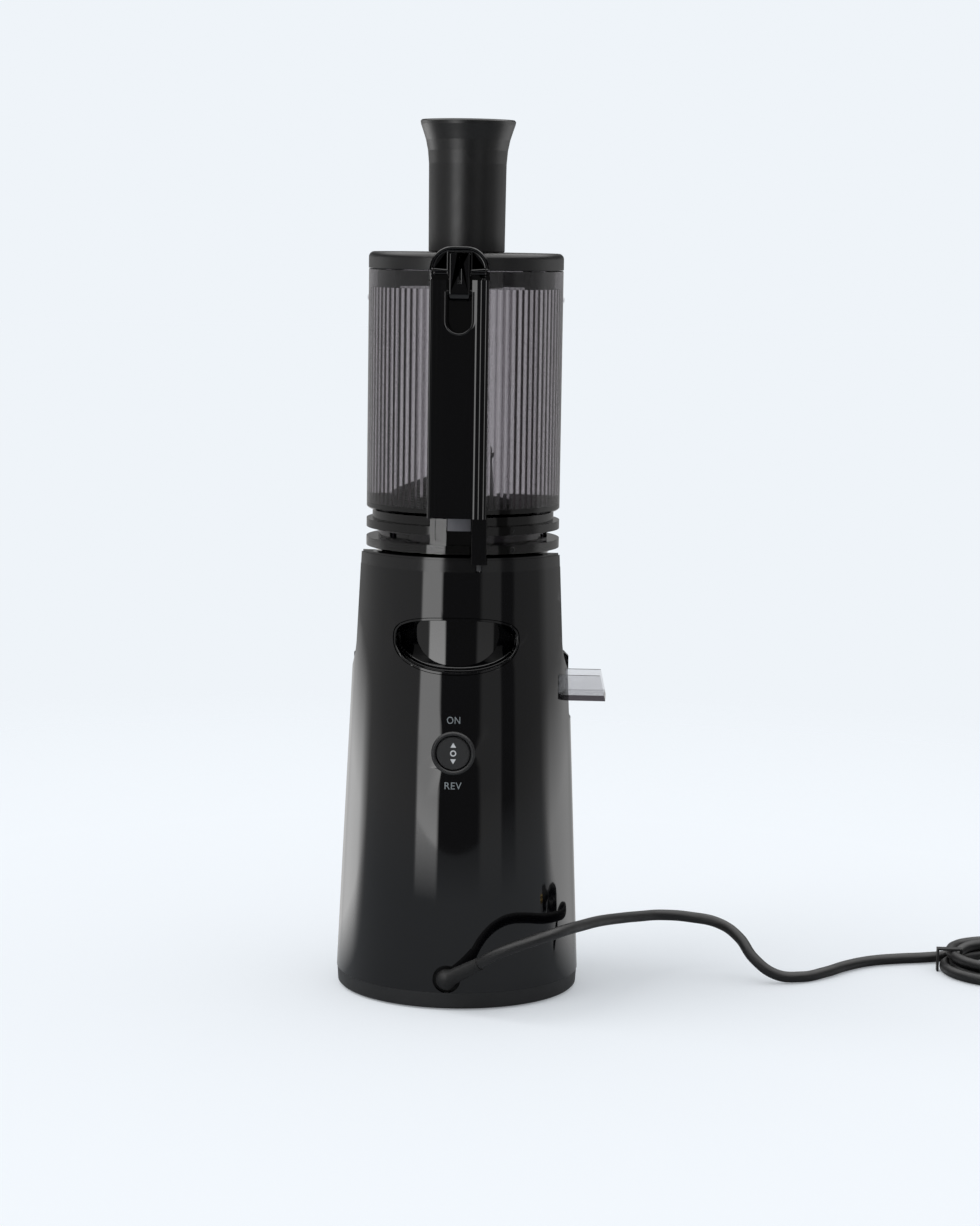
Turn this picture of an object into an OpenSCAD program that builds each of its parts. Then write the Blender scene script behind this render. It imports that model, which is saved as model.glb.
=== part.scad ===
/* [Motor base] */
// Radius that the tapered body would have at table level
foot_r = 77.4; // [76:0.1:79]
// Loss of body radius per millimetre of height
body_taper = 0.0432; // [0.040:0.0001:0.046]
// Height of the seam between base cover and housing
seam_z = 11; // [10:0.5:12]
// Height of the deck that carries the chamber
deck_z = 203; // [202:0.5:204]
// Top of the satin collar on the rear wall
collar_top_z = 279; // [278:0.5:279.5]
// Height of the satin collar
collar_h = 8.5; // [7:0.5:10]
// Wall thickness of the glossy housing
wall_t = 3; // [2.5:0.1:3.5]
// Distance from the axis to the front edge of the rear wall
cut_y = 21; // [20:0.5:22]
// Radius of the flare at the foot of that edge
cut_fillet = 20; // [18:0.5:21]

/* [Grip and switch] */
// Width of the finger recess
grip_w = 78; // [70:1:82]
// Lower edge of the finger recess
grip_z = 207.4; // [207:0.1:208]
// Height of the finger recess
grip_h = 35.3; // [35:0.1:38]
// Height of the switch centre
switch_z = 159.7; // [150:0.1:170]
// Outer radius of the switch ring
bezel_r = 13.5; // [13:0.1:14]
// Radius of the three-way rocker disc
rocker_r = 10.2; // [10:0.1:10.3]

/* [Juicing chamber] */
// Outer radius of the chamber wall
chamber_r = 48.5; // [48:0.1:49]
// Wall thickness of the clear parts
clear_t = 2.5; // [2:0.1:2.8]
// Width of the pulp chute
chute_w = 30; // [28:0.5:31]
// Reach of the pulp chute from the axis
chute_reach = 91.8; // [88:0.1:94]
// Height of the juice spout's centre
spout_z = 227; // [226:0.5:229]
// Reach of the juice spout from the axis
spout_reach = 82; // [78:0.5:86]

/* [Hopper] */
// Outer radius of the drum and of both flanges
drum_r = 60.6; // [60.2:0.1:61]
// Lower end of the drum
drum_z = 304.3; // [304:0.1:305]
// Upper end of the drum
drum_top_z = 453; // [440:0.5:453]
// Number of upright ribs inside the drum
rib_count = 84; // [60:2:96]
// Depth of the ribs
rib_depth = 0.8; // [0.5:0.1:1]
// Half width of the glossy column behind the drum
column_half_w = 18; // [17.5:0.1:18.3]
// Distance from the axis to the column's outer face
column_y = 72.5; // [72:0.1:73]

/* [Lid and pusher] */
// Thickness of the lid
lid_t = 10.2; // [9:0.1:11]
// Radius of the pusher's shaft at its foot
pusher_r = 23.7; // [23.5:0.1:24.5]
// Top of the pusher
pusher_top_z = 544.8; // [530:0.1:548]
// Radius of the pusher's flared mouth
flare_r = 29.6; // [28:0.1:31]

/* [Drive] */
// Teeth on the motor pinion
pinion_teeth = 12; // [12:1:12]
// Teeth on the idler's large wheel
idler_teeth = 60; // [60:1:60]
// Teeth on the idler's small wheel
idler_pinion_teeth = 11; // [11:1:11]
// Teeth on the output wheel
output_teeth = 44; // [44:1:44]
// Direction of the motor shaft as seen from the idler, from the rear towards the side
motor_turn = 30; // [28:1:32]

/* [Cord] */
// Diameter of the mains cord
cord_d = 7; // [6.5:0.1:7]
// Middle radius of the inner turns of the stored cord
coil_r = 35; // [34:0.5:36]

/* [Hidden] */
$fn = 96;
gap = 0.3;
slip = 0.05;
big = 200;

function body_r(z) = foot_r - body_taper * z;

// finger recess, widest at a height of its own and fuller above it than below
grip_low_h = 21;
grip_back_r = 54;
grip_t = 2;

// heights of the housing
collar_z = collar_top_z - collar_h;
pocket_z = 172;
liner_r = 51.5;
liner_t = 2;

// chamber and the rings under the drum
chamber_z = deck_z + 0.1;
chamber_floor_z = 208;
chamber_ledge_z = 279.5;
chamber_seat_z = 283.5;
base_flange_r = 68;
base_flange_top_z = 213;
low_flange_z = 280.7;
low_flange_top_z = 286.3;
chamber_neck_r = 53.2;
chamber_neck_top_z = 291.9;
mouth_r = 45.5;
tower_r = 11.5;
tower_bore_r = 8.2;
tower_top_z = 221;
chute_y = -7.5;
chute_z = 184;
chute_top_z = 200;
chute_slant = 3.6;
spout_r = 12;
spout_bore_r = 9.5;
cap_pin_y = -spout_reach + 2;
cap_pin_z = spout_z + 15;

// hopper
high_flange_z = 292.4;
high_flange_top_z = 297.6;
hopper_neck_r = 56.9;
spigot_z = chamber_seat_z + 0.1;
drum_t = clear_t + 0.1;
rib_z = drum_z + 3.7;
rib_top_z = 441.6;
column_z = 303.8;
column_top_z = 447.5;
hollow_r = 115;
hollow_half_w = 9.9;
hollow_depth = 0.83;
// each step: where its slope starts, how deep it is there, and how far it takes to come up
face_steps = [[9.9, 0.4, 1.8], [13, 0.2, 0.9], [16, 0.1, 0.4]];
pocket_half_w = 7.8;
pocket_rim_half_w = 11.75;
pocket_rim_depth = 0.9;
pocket_centre_z = 423.2;
pocket_back_y = 61.6;
tab_r = 64;
post_z = 275.4;
post_x = -13.7;
post_half_w = 4.5;
post_y = 64.1;
post_half_d = 3.3;

// interlock rod
rod_x = -13.7;
rod_y = 64;
rod_r = 1.6;
rod_flange_r = 2.5;
spring_bore_r = 2.75;
magnet_h = 3;
rod_z = 274.5;
rod_top_z = 448.6;
rod_flange_z = 299;
spring_z = 281.5;
spring_turns = 6;

// lid
lid_z = drum_top_z + gap;
lid_top_z = lid_z + lid_t;
hinge_y = 67.2;
hinge_z = 440.2;
hinge_pin_r = 1.75;
knuckle_r = 5.5;
knuckle_half_w = 6.5;
hood_half_w = 18;
hood_z = 453.4;
hood_neck_z = 450.5;
hood_neck_half_w = 16;
hood_top_z = 467.6;
hood_back_y = 74;
chute_hole_r = 20.4;
skirt_r = 55.3;
skirt_z = 441.6;
skirt_gap_x = 42;
skirt_gap_y = 38;

// gear train, axes all upright
fine_module = 0.8;
coarse_module = 1.25;
idler_y = -coarse_module * (idler_pinion_teeth + output_teeth) / 2;
motor_gap = fine_module * (pinion_teeth + idler_teeth) / 2;
motor_x = motor_gap * sin(motor_turn);
motor_y = idler_y + motor_gap * cos(motor_turn);
gear_floor_z = 116;
gear_floor_t = 3.5;
gear_z = 121;
idler_face = 10;
output_z = 136;
output_face = 14;
idler_top_z = output_z + output_face;
gear_top_z = 156;
gear_cover_t = 4;
shaft_r = 6;
hex_across = 11;
motor_r = 38;
motor_z = 30;
axle_r = 3;
motor_screw_turns = [80, 200, 320];

// auger
auger_z = 212.4;
auger_r = 38.2;
auger_top_z = 284;
flight_turns = 2.25;
flight_steps = 54;
wing_steps = 26;

// cord: where it leaves the gland, its route over the table, and its coil
gland_x = 2;
gland_y = 76.6;
gland_z = 19.5;
relief_end = [-19, 89, 33];
gland_hole_r = 8.6;
gland_r = 6.3;
cord_route = [
    relief_end, [-27, 93, 39], [-38, 95, 44.5], [-50, 92.5, 48.5], [-62, 84, 51], [-72, 68, 51],
    [-80, 49, 49], [-90, 28, 47], [-102, 6, 44], [-117, -15, 41], [-132, -31, 38.5], [-150, -37.5, 36],
    [-168, -33, 33.5], [-181, -22, 27], [-190.5, -14, 15.5], [-204.5, -11.5, 6], [-221, -16, 3.6],
    [-237.5, -30, 3.6], [-252, -48, 3.6], [-269, -63, 3.6], [-288.5, -71.5, 3.6], [-306, -76.5, 3.6],
    [-322.5, -83.5, 3.6], [-338, -93.5, 3.6]
];
coil_x = -358.7;
coil_y = -57;
coil_outer_r = coil_r + cord_d;
coil_h = 2 * cord_d;
tail_z = cord_d * 1.5;
tail_l = 36;
plug_z = 8;
plug_y = coil_y + tail_l;

// ---------- shapes used more than once ----------

// solid of the tapered body between two heights, set in from its surface
module body_cone(inset, z0, z1) {
    translate([0, 0, z0])
        cylinder(h = z1 - z0, r1 = body_r(z0) - inset, r2 = body_r(z1) - inset);
}

module tube(r_out, r_in, z0, z1) {
    translate([0, 0, z0])
        difference() {
            cylinder(h = z1 - z0, r = r_out);
            translate([0, 0, -1]) cylinder(h = z1 - z0 + 2, r = r_in);
        }
}

module disc(r, z0, z1) {
    translate([0, 0, z0]) cylinder(h = z1 - z0, r = r);
}

// box between two opposite corners
module block(low, high) {
    translate(low) cube(high - low);
}

// outline in X and Z, solid from y0 to y1
module along_y(y0, y1) {
    translate([0, y1, 0]) rotate([90, 0, 0]) linear_extrude(y1 - y0) children();
}

// outline in Y and Z, solid from x0 to x1
module along_x(x0, x1) {
    translate([x0, 0, 0]) rotate([90, 0, 90]) linear_extrude(x1 - x0) children();
}

module bar_x(r, x0, x1, y, z) {
    translate([x0, y, z]) rotate([0, 90, 0]) cylinder(h = x1 - x0, r = r);
}

module bar_y(r, y0, y1, x, z) {
    translate([x, y1, z]) rotate([90, 0, 0]) cylinder(h = y1 - y0, r = r);
}

// finger recess seen from the rear: a squarer oval above its widest line, a rounder one below
function oval_power(c, n) = sign(c) * pow(abs(c), 2 / n);
function grip_points(inset) = [
    for (a = [0 : 6 : 354])
        let (upper = a < 180, n = upper ? 2.9 : 2.3, h = upper ? grip_h - grip_low_h : grip_low_h)
            [(grip_w / 2 - inset) * oval_power(cos(a), n),
             grip_z + grip_low_h + (h - inset) * oval_power(sin(a), n)]
];

// straight-flanked gear outline with one tooth centred on phase
function gear_points(teeth, modulus, phase) = [
    for (tooth = [0 : teeth - 1])
        for (corner = [[-0.29, -1.1], [-0.21, 0], [-0.10, 0.8], [0.10, 0.8], [0.21, 0], [0.29, -1.1]])
            let (a = phase + (tooth + corner[0]) * 360 / teeth,
                 r = modulus * (teeth / 2 + corner[1]))
                [r * cos(a), r * sin(a)]
];

module gear(teeth, modulus, phase, face) {
    linear_extrude(face) polygon(gear_points(teeth, modulus, phase));
}

module screw(head_r, head_h, shank_r, shank_l) {
    difference() {
        cylinder(h = head_h, r = head_r);
        translate([0, 0, -0.1]) cylinder(h = head_h * 0.6, r = head_r * 0.5, $fn = 6);
    }
    translate([0, 0, head_h - 0.01]) cylinder(h = shank_l, r = shank_r);
}

// round tube along a list of points, flat at both ends
function unit(v) = v / norm(v);
function tangent(p, i) =
    unit(i == 0 ? p[1] - p[0] : i == len(p) - 1 ? p[i] - p[i - 1] : p[i + 1] - p[i - 1]);
function ring(p, i, r, sides) =
    let (t = tangent(p, i), side = unit(cross(t, [0, 0, 1])), up = cross(side, t))
        [for (k = [0 : sides - 1])
            let (a = (k + 0.5) * 360 / sides) p[i] + r * (cos(a) * side + sin(a) * up)];
function spline_point(p, i, u) =
    let (a = p[max(i - 1, 0)], b = p[i], c = p[i + 1], d = p[min(i + 2, len(p) - 1)])
        0.5 * (2 * b + u * (c - a) + u * u * (2 * a - 5 * b + 4 * c - d)
            + u * u * u * (3 * b - a - 3 * c + d));
function smooth_route(p, steps) = concat(
    [for (i = [0 : len(p) - 2]) for (k = [0 : steps - 1]) spline_point(p, i, k / steps)],
    [p[len(p) - 1]]);

module swept_tube(p, r, sides) {
    rings = [for (i = [0 : len(p) - 1]) each ring(p, i, r, sides)];
    last = (len(p) - 1) * sides;
    polyhedron(rings, concat(
        [[for (k = [sides - 1 : -1 : 0]) k]],
        [for (i = [0 : len(p) - 2]) for (k = [0 : sides - 1])
            let (a = i * sides, b = a + sides, next = (k + 1) % sides)
                each [[a + k, b + next, b + k], [a + k, a + next, b + next]]],
        [[for (k = [0 : sides - 1]) last + k]]));
}

// helical blade: each section is [angle, inner r, outer r, root z, tip z, thickness]
module helical_blade(sections) {
    n = len(sections);
    points = [for (s = sections) each [
        [s[1] * cos(s[0]), s[1] * sin(s[0]), s[3] - s[5] / 2],
        [s[2] * cos(s[0]), s[2] * sin(s[0]), s[4] - s[5] / 2],
        [s[2] * cos(s[0]), s[2] * sin(s[0]), s[4] + s[5] / 2],
        [s[1] * cos(s[0]), s[1] * sin(s[0]), s[3] + s[5] / 2]]];
    polyhedron(points, concat(
        [[3, 2, 1, 0]],
        [for (i = [0 : n - 2]) for (k = [0 : 3])
            let (a = 4 * i, b = a + 4, next = (k + 1) % 4)
                each [[a + k, a + next, b + next], [a + k, b + next, b + k]]],
        [[4 * n - 4, 4 * n - 3, 4 * n - 2, 4 * n - 1]]));
}

// ---------- motor base ----------

foot_ring_r = 56;
foot_r_small = 8;
base_boss_ring_r = 61;
base_boss_turn = 45;

module rubber_feet() {
    color("#1a1a1a")
        for (a = [0 : 90 : 270])
            rotate([0, 0, a]) translate([foot_ring_r, 0, 0]) {
                cylinder(h = 1.5, r1 = foot_r_small - 1, r2 = foot_r_small);
                translate([0, 0, 1.5]) cylinder(h = 1.5, r = foot_r_small);
            }
}

module base_cover() {
    edge_r = 76;
    edge_z = 0.8;
    rim_r = body_r(seam_z) - 0.4;
    color("#1e1e1f")
        difference() {
            union() {
                rotate_extrude()
                    polygon([[0, 2], [edge_r - 5, 2], [edge_r - 4, edge_z], [edge_r - 1, edge_z],
                             [edge_r, edge_z + 1], [rim_r, seam_z - 1.6], [rim_r, seam_z],
                             [rim_r - 3, seam_z], [edge_r - 3, 4.6], [0, 4.6]]);
                tube(rim_r - 3.2, rim_r - 5, 4.2, seam_z + 3);
                for (a = [0 : 90 : 270])
                    rotate([0, 0, a + base_boss_turn]) translate([base_boss_ring_r, 0, 4])
                        cylinder(h = seam_z, r = 4.5);
            }
            for (a = [0 : 90 : 270]) {
                rotate([0, 0, a]) translate([foot_ring_r, 0, 0]) cylinder(h = 3, r = foot_r_small);
                rotate([0, 0, a + base_boss_turn]) translate([base_boss_ring_r, 0, 0]) {
                    cylinder(h = 20, r = 2);
                    cylinder(h = 3.4, r = 4.2);
                }
            }
            for (i = [-5 : 5])
                block([i * 6 - 1.2, -24 + abs(i), 0], [i * 6 + 1.2, 24 - abs(i), 9]);
            block([gland_x - 11, 60, 9], [gland_x + 11, rim_r - 2.9, 20]);
        }
}

module base_screws() {
    color("#8a8c90")
        for (a = [0 : 90 : 270])
            rotate([0, 0, a + base_boss_turn]) translate([base_boss_ring_r, 0, 2.2])
                screw(3.6, 1.2, 1.6, 16);
}

// everything in front of the rear wall, above the deck, with the flare left standing
module front_space() {
    along_x(-big, big)
        difference() {
            translate([-big, deck_z]) square([big + cut_y, big]);
            difference() {
                translate([cut_y - cut_fillet, deck_z - 1]) square([cut_fillet + 1, cut_fillet + 1]);
                translate([cut_y - cut_fillet, deck_z + cut_fillet]) circle(cut_fillet);
            }
        }
}

pocket_y0 = chute_y - chute_w / 2 - 1.6;
pocket_y1 = chute_y + chute_w / 2 + 2;
pocket_x = -24;

module pulp_notch(grow) {
    notch_r = 7;
    along_x(-big, pocket_x + grow)
        union() {
            translate([pocket_y0 - grow, pocket_z + notch_r])
                square([pocket_y1 - pocket_y0 + 2 * grow, 70]);
            translate([pocket_y0 + notch_r, pocket_z - grow])
                square([pocket_y1 - pocket_y0 - 2 * notch_r, 20]);
            for (y = [pocket_y0 + notch_r, pocket_y1 - notch_r])
                translate([y, pocket_z + notch_r]) circle(notch_r + grow);
        }
}

deck_bosses = [[22, 34], [-32, 18], [27, -52], [-27, -52]];
boss_top_z = gear_top_z + gear_cover_t;
board_y = 52;
board_half_w = 23;

module motor_housing() {
    color("#0b0b0d")
        difference() {
            union() {
                difference() {
                    body_cone(0, seam_z, collar_z);
                    body_cone(wall_t, seam_z - 1, deck_z - wall_t);
                    body_cone(wall_t, deck_z, collar_z + 1);
                    front_space();
                }
                // end walls that close the double rear wall
                intersection() {
                    body_cone(wall_t / 2, deck_z - 1, collar_z);
                    difference() {
                        block([-big, cut_y, deck_z - 1], [big, cut_y + 2, collar_z]);
                        disc(liner_r, deck_z - 1, collar_z + 1);
                    }
                }
                // lining of the pocket for the pulp chute
                intersection() {
                    body_cone(wall_t / 2, pocket_z - 3, deck_z);
                    pulp_notch(2);
                }
                for (p = deck_bosses)
                    translate([p[0], p[1], boss_top_z]) cylinder(h = deck_z - 1 - boss_top_z, r = 5);
                intersection() {
                    body_cone(wall_t / 2, seam_z + 4, 60);
                    union()
                        for (a = [0 : 90 : 270])
                            rotate([0, 0, a + base_boss_turn])
                                block([base_boss_ring_r - 4, -4, seam_z + 4], [foot_r, 4, 42]);
                }
                // slotted rails that hold the control board
                intersection() {
                    body_cone(wall_t / 2, 50, 130);
                    for (side = [-1, 1])
                        block([side * (board_half_w + 1) - 3, board_y - 3, 56],
                              [side * (board_half_w + 1) + 3, foot_r, 124]);
                }
            }
            for (p = deck_bosses)
                translate([p[0], p[1], gear_top_z]) cylinder(h = 24, r = 1.6);
            for (a = [0 : 90 : 270])
                rotate([0, 0, a + base_boss_turn])
                    translate([base_boss_ring_r, 0, seam_z]) cylinder(h = 24, r = 1.6);
            block([-board_half_w - 1.5, board_y, 58], [board_half_w + 1.5, board_y + 1.6, 125]);
            pulp_notch(0);
            disc(10, deck_z - 9, deck_z + 1);
            along_y(50, 80) polygon(grip_points(0));
            bar_y(11.8, 60, 80, 0, switch_z);
            bar_y(bezel_r, body_r(switch_z) - 1.8, 80, 0, switch_z);
            bar_y(gland_hole_r, 60, 90, gland_x, gland_z);
        }
}

module rear_liner() {
    color("#141416")
        difference() {
            tube(liner_r, liner_r - liner_t, deck_z, collar_z);
            block([-big, -big, 0], [big, cut_y, big * 2]);
            
        }
}

module top_collar() {
    color("#242426")
        difference() {
            union() {
                body_cone(0.15, collar_z, collar_top_z - 1.2);
                body_cone(1, collar_top_z - 1.2, collar_top_z);
            }
            disc(liner_r - liner_t, collar_z - 1, collar_top_z + 1);
            // hollow under the collar's top face
            difference() {
                disc(body_r(collar_z) - 3, collar_z - 1, collar_top_z - 5.5);
                disc(liner_r + 0.5, collar_z - 1, collar_top_z);
            }
            // conical seat that clears the chamber's shoulder
            translate([0, 0, collar_z + 2])
                cylinder(h = collar_h, r1 = liner_r - liner_t, r2 = chamber_r + 11);
            block([-big, -big, 0], [big, cut_y, big * 2]);
            block([post_x - post_half_w - 0.4, 59.5, post_z - 0.4],
                  [post_x + post_half_w + 0.4, 80, big * 2]);
            translate([rod_x, rod_y, 260]) cylinder(h = 30, r = rod_r + gap);
        }
}

module grip_cup() {
    color("#08080a")
        difference() {
            intersection() {
                along_y(30, 80) polygon(grip_points(0));
                body_cone(0, grip_z - 1, grip_z + grip_h + 1);
                difference() {
                    disc(big, grip_z - 1, grip_z + grip_h + 1);
                    disc(grip_back_r - grip_t, grip_z - 2, grip_z + grip_h + 2);
                }
            }
            difference() {
                along_y(30, 80) polygon(grip_points(grip_t));
                disc(grip_back_r, grip_z - 2, grip_z + grip_h + 2);
            }
        }
}

switch_face_y = 71.9;
switch_seat_y = body_r(switch_z) - 1.8;
rocker_pin_y = 66;
rocker_pin_r = 1;
rocker_back_y = 68.2;
rocker_face_y = 70.8;
switch_ring_r = rocker_r + 0.7;

module switch_bezel() {
    color("#2b2b2d")
        translate([0, 0, switch_z]) rotate([-90, 0, 0])
            rotate_extrude()
                polygon([[switch_ring_r, 64], [bezel_r - 1.9, 64], [bezel_r - 1.9, switch_seat_y],
                         [bezel_r, switch_seat_y], [bezel_r, switch_face_y - 0.8],
                         [bezel_r - 0.9, switch_face_y], [switch_ring_r + 0.8, switch_face_y],
                         [switch_ring_r, switch_face_y - 0.7]]);
}

module switch_rocker() {
    color("#303032")
        difference() {
            union() {
                bar_y(rocker_r, rocker_back_y, rocker_face_y - 0.6, 0, switch_z);
                bar_y(rocker_r - 0.5, rocker_face_y - 0.7, rocker_face_y, 0, switch_z);
                bar_x(2.2, -6.8, 6.8, rocker_pin_y, switch_z);
                block([-6.5, rocker_pin_y, switch_z - 1.8], [6.5, rocker_back_y + 0.5, switch_z + 1.8]);
            }
            bar_x(rocker_pin_r + slip, -8, 8, rocker_pin_y, switch_z);
        }
}

module switch_body() {
    color("#1c1c1e") {
        difference() {
            block([-9, 46, switch_z - 8], [9, 60, switch_z + 8]);
            block([-7, 56, switch_z - 3], [7, 61, switch_z + 3]);
        }
        difference() {
            bar_y(bezel_r - 1.9, 60, 64, 0, switch_z);
            block([-7.2, 59, switch_z - 6], [7.2, 65, switch_z + 6]);
        }
        for (side = [-1, 1]) {
            block([side * 8.2 - 0.9, 59, switch_z - 3],
                      [side * 8.2 + 0.9, rocker_back_y - 0.6, switch_z + 3]);
            block([side * 6 - 0.4, 40, switch_z - 2], [side * 6 + 0.4, 47, switch_z + 2]);
        }
        bar_x(rocker_pin_r, -9, 9, rocker_pin_y, switch_z);
    }
}

module control_board() {
    color("#2f5a3a") block([-board_half_w - 1.4, board_y, 58], [board_half_w + 1.4, board_y + 1.6, 122]);
    color("#3a3a3c") {
        bar_y(6, board_y - 16, board_y + 0.5, -11, 104);
        block([2, board_y - 14, 94], [18, board_y + 0.5, 112]);
        block([-18, board_y - 10, 64], [-2, board_y + 0.5, 74]);
        block([3, board_y - 9, 64], [19, board_y + 0.5, 84]);
    }
}

// ---------- motor and gear train ----------

module motor_can() {
    color("#6f7276")
        translate([motor_x, motor_y, 0])
            difference() {
                disc(motor_r, motor_z + 4, gear_floor_z);
                disc(motor_r - 2, motor_z, gear_floor_z - 2.5);
                disc(6.5, motor_z, gear_floor_z + 1);
                for (a = [0 : 60 : 300])
                    rotate([0, 0, a + 30]) translate([24, 0, gear_floor_z - 5]) cylinder(h = 9, r = 3.4);
                for (a = motor_screw_turns)
                    rotate([0, 0, a]) translate([16, 0, gear_floor_z - 5]) cylinder(h = 9, r = 2);
            }
}

module motor_magnets() {
    color("#3c3c40")
        translate([motor_x, motor_y, 0])
            difference() {
                tube(motor_r - 2, motor_r - 7.5, 48, 104);
                for (side = [-1, 1])
                    block([side > 0 ? 0 : -big, -9, 0], [side > 0 ? big : 0, 9, big]);
            }
}

module motor_end_cap() {
    color("#5c5f63")
        translate([motor_x, motor_y, 0])
            difference() {
                union() {
                    disc(motor_r, motor_z, motor_z + 4);
                    disc(motor_r - 2.05, motor_z + 3.9, motor_z + 8);
                }
                disc(motor_r - 6, motor_z + 4, motor_z + 9);
                disc(6.5, motor_z - 1, motor_z + 9);
                for (a = [0 : 60 : 300])
                    rotate([0, 0, a]) translate([22, 0, motor_z - 1]) cylinder(h = 9, r = 4);
            }
}

module motor_bushes() {
    color("#b08d4c")
        translate([motor_x, motor_y, 0]) {
            tube(6.5, 4 + slip, motor_z, motor_z + 7);
            tube(6.5, 4 + slip, gear_floor_z - 7, gear_floor_z);
        }
}

module motor_rotor() {
    slot_turn = 30;
    color("#8b8e92")
        translate([motor_x, motor_y, 0]) {
            disc(4, motor_z - 8, gear_z - 1);
            difference() {
                disc(29.5, 50, 102);
                for (a = [0 : slot_turn : 330])
                    rotate([0, 0, a]) {
                        block([20, -1.2, 49], [30, 1.2, 103]);
                        block([16, -3, 49], [25, 3, 103]);
                    }
            }
            disc(10, 40, 47.5);
            tube(17, 10, 41, 43);
            translate([0, 0, gear_z - 1.5])
                gear(pinion_teeth, fine_module, 270 - motor_turn, idler_face + 3);
        }
}

module motor_screws() {
    color("#8a8c90")
        translate([motor_x, motor_y, 0])
            for (a = motor_screw_turns)
                rotate([0, 0, a]) translate([16, 0, gear_floor_z + gear_floor_t + 1])
                    mirror([0, 0, 1]) screw(3.4, 2.2, 2, 6.5);
}

// outline shared by the gearbox case and cover
module gearbox_outline(inset) {
    circle(36.5 - inset);
    translate([0, idler_y]) circle(31 - inset);
    for (p = deck_bosses) translate(p) circle(6.5 - inset);
    polygon([[-35 + inset, 0], [35 - inset, 0], [29 - inset, idler_y], [-29 + inset, idler_y]]);
}

module gearbox_case() {
    color("#a3a6aa")
        difference() {
            union() {
                translate([0, 0, gear_floor_z]) linear_extrude(gear_top_z - gear_floor_z) gearbox_outline(0);
                translate([motor_x, motor_y, gear_floor_z]) cylinder(h = gear_floor_t, r = motor_r - 3);
            }
            difference() {
                translate([0, 0, gear_floor_z + gear_floor_t])
                    linear_extrude(gear_top_z) {
                        circle(33);
                        translate([0, idler_y]) circle(27.5);
                        polygon([[-31, 0], [31, 0], [26, idler_y], [-26, idler_y]]);
                    }
                disc(9.5, gear_floor_z, gear_floor_z + 12);
                translate([0, idler_y, gear_floor_z]) cylinder(h = gear_z - 0.1 - gear_floor_z, r = 6);
            }
            disc(8, gear_floor_z + 1, gear_floor_z + 13);
            translate([0, idler_y, gear_floor_z - 1]) cylinder(h = 6, r = axle_r);
            translate([motor_x, motor_y, 0]) {
                disc(7.5, gear_floor_z - 1, gear_floor_z + gear_floor_t + 1);
                for (a = motor_screw_turns)
                    rotate([0, 0, a]) translate([16, 0, gear_floor_z - 1]) {
                        cylinder(h = 6, r = 2);
                        translate([0, 0, gear_floor_t - 0.2]) cylinder(h = 6, r = 3.4);
                    }
            }
            for (p = deck_bosses)
                translate([p[0], p[1], gear_floor_z - 1]) {
                    cylinder(h = 60, r = 1.9);
                    cylinder(h = 5, r = 4.2);
                }
        }
}

module gearbox_cover() {
    color("#a3a6aa")
        difference() {
            union() {
                translate([0, 0, gear_top_z]) linear_extrude(gear_cover_t) gearbox_outline(0);
                disc(13, gear_top_z, gear_top_z + 14);
                translate([0, idler_y, idler_top_z + 0.1]) cylinder(h = gear_top_z - idler_top_z, r = 5);
            }
            disc(8, gear_top_z - 1, gear_top_z + 15);
            translate([0, idler_y, idler_top_z]) cylinder(h = gear_top_z - idler_top_z + 2.5, r = axle_r);
            for (p = deck_bosses)
                translate([p[0], p[1], gear_top_z - 1]) cylinder(h = 9, r = 1.9);
        }
}

module gearbox_screws() {
    color("#8a8c90")
        for (p = deck_bosses)
            translate([p[0], p[1], gear_floor_z + 1.6]) screw(3.6, 2.4, 1.5, 56);
}

module idler_axle() {
    color("#c4c6c9")
        translate([0, idler_y, gear_floor_z]) cylinder(h = gear_top_z - gear_floor_z + 2.5, r = axle_r);
}

module idler_gear() {
    color("#c9b26a")
        translate([0, idler_y, 0])
            difference() {
                union() {
                    translate([0, 0, gear_z])
                        gear(idler_teeth, fine_module, 90 - motor_turn + 180 / idler_teeth, idler_face);
                    translate([0, 0, gear_z + idler_face - 0.5])
                        gear(idler_pinion_teeth, coarse_module, 90,
                             output_z + output_face - gear_z - idler_face);
                }
                for (a = [0 : 60 : 300])
                    rotate([0, 0, a]) translate([15, 0, gear_z - 1]) cylinder(h = idler_face + 2, r = 4.5);
                disc(axle_r + slip, gear_z - 1, 200);
            }
}

module output_gear() {
    color("#c9b26a")
        difference() {
            translate([0, 0, output_z])
                gear(output_teeth, coarse_module, 270 + 180 / output_teeth, output_face);
            for (a = [0 : 60 : 300])
                rotate([0, 0, a]) translate([17.5, 0, output_z - 1]) cylinder(h = output_face + 2, r = 5);
            disc(shaft_r, output_z - 1, output_z + output_face + 1);
        }
}

module drive_shaft() {
    color("#d0d2d4") {
        disc(shaft_r, gear_floor_z + 1.1, 209);
        disc(9, gear_floor_z + 12.1, output_z);
        disc(9, idler_top_z, gear_top_z - 0.1);
        translate([0, 0, 208.5])
            rotate([0, 0, 30]) cylinder(h = 26, r = hex_across / 2 / cos(30), $fn = 6);
    }
}

module shaft_bushes() {
    color("#b08d4c") {
        tube(8, shaft_r + slip, gear_floor_z + 1, gear_floor_z + 12);
        tube(8, shaft_r + slip, gear_top_z, gear_top_z + 14);
    }
}

module deck_seal() {
    color("#6d6f72")
        difference() {
            union() {
                disc(10, deck_z - 5, deck_z - 0.2);
                disc(8.6, deck_z - 9, deck_z - 4);
            }
            disc(shaft_r + gap, deck_z - 10, deck_z + 1);
        }
}

module reed_switch() {
    color("#d8d8d4")
        difference() {
            block([post_x - 3.5, 46, 259], [post_x + 3.5, 60.2, collar_z]);
            disc(liner_r, 250, 280);
        }
}

// ---------- juicing chamber ----------

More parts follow.
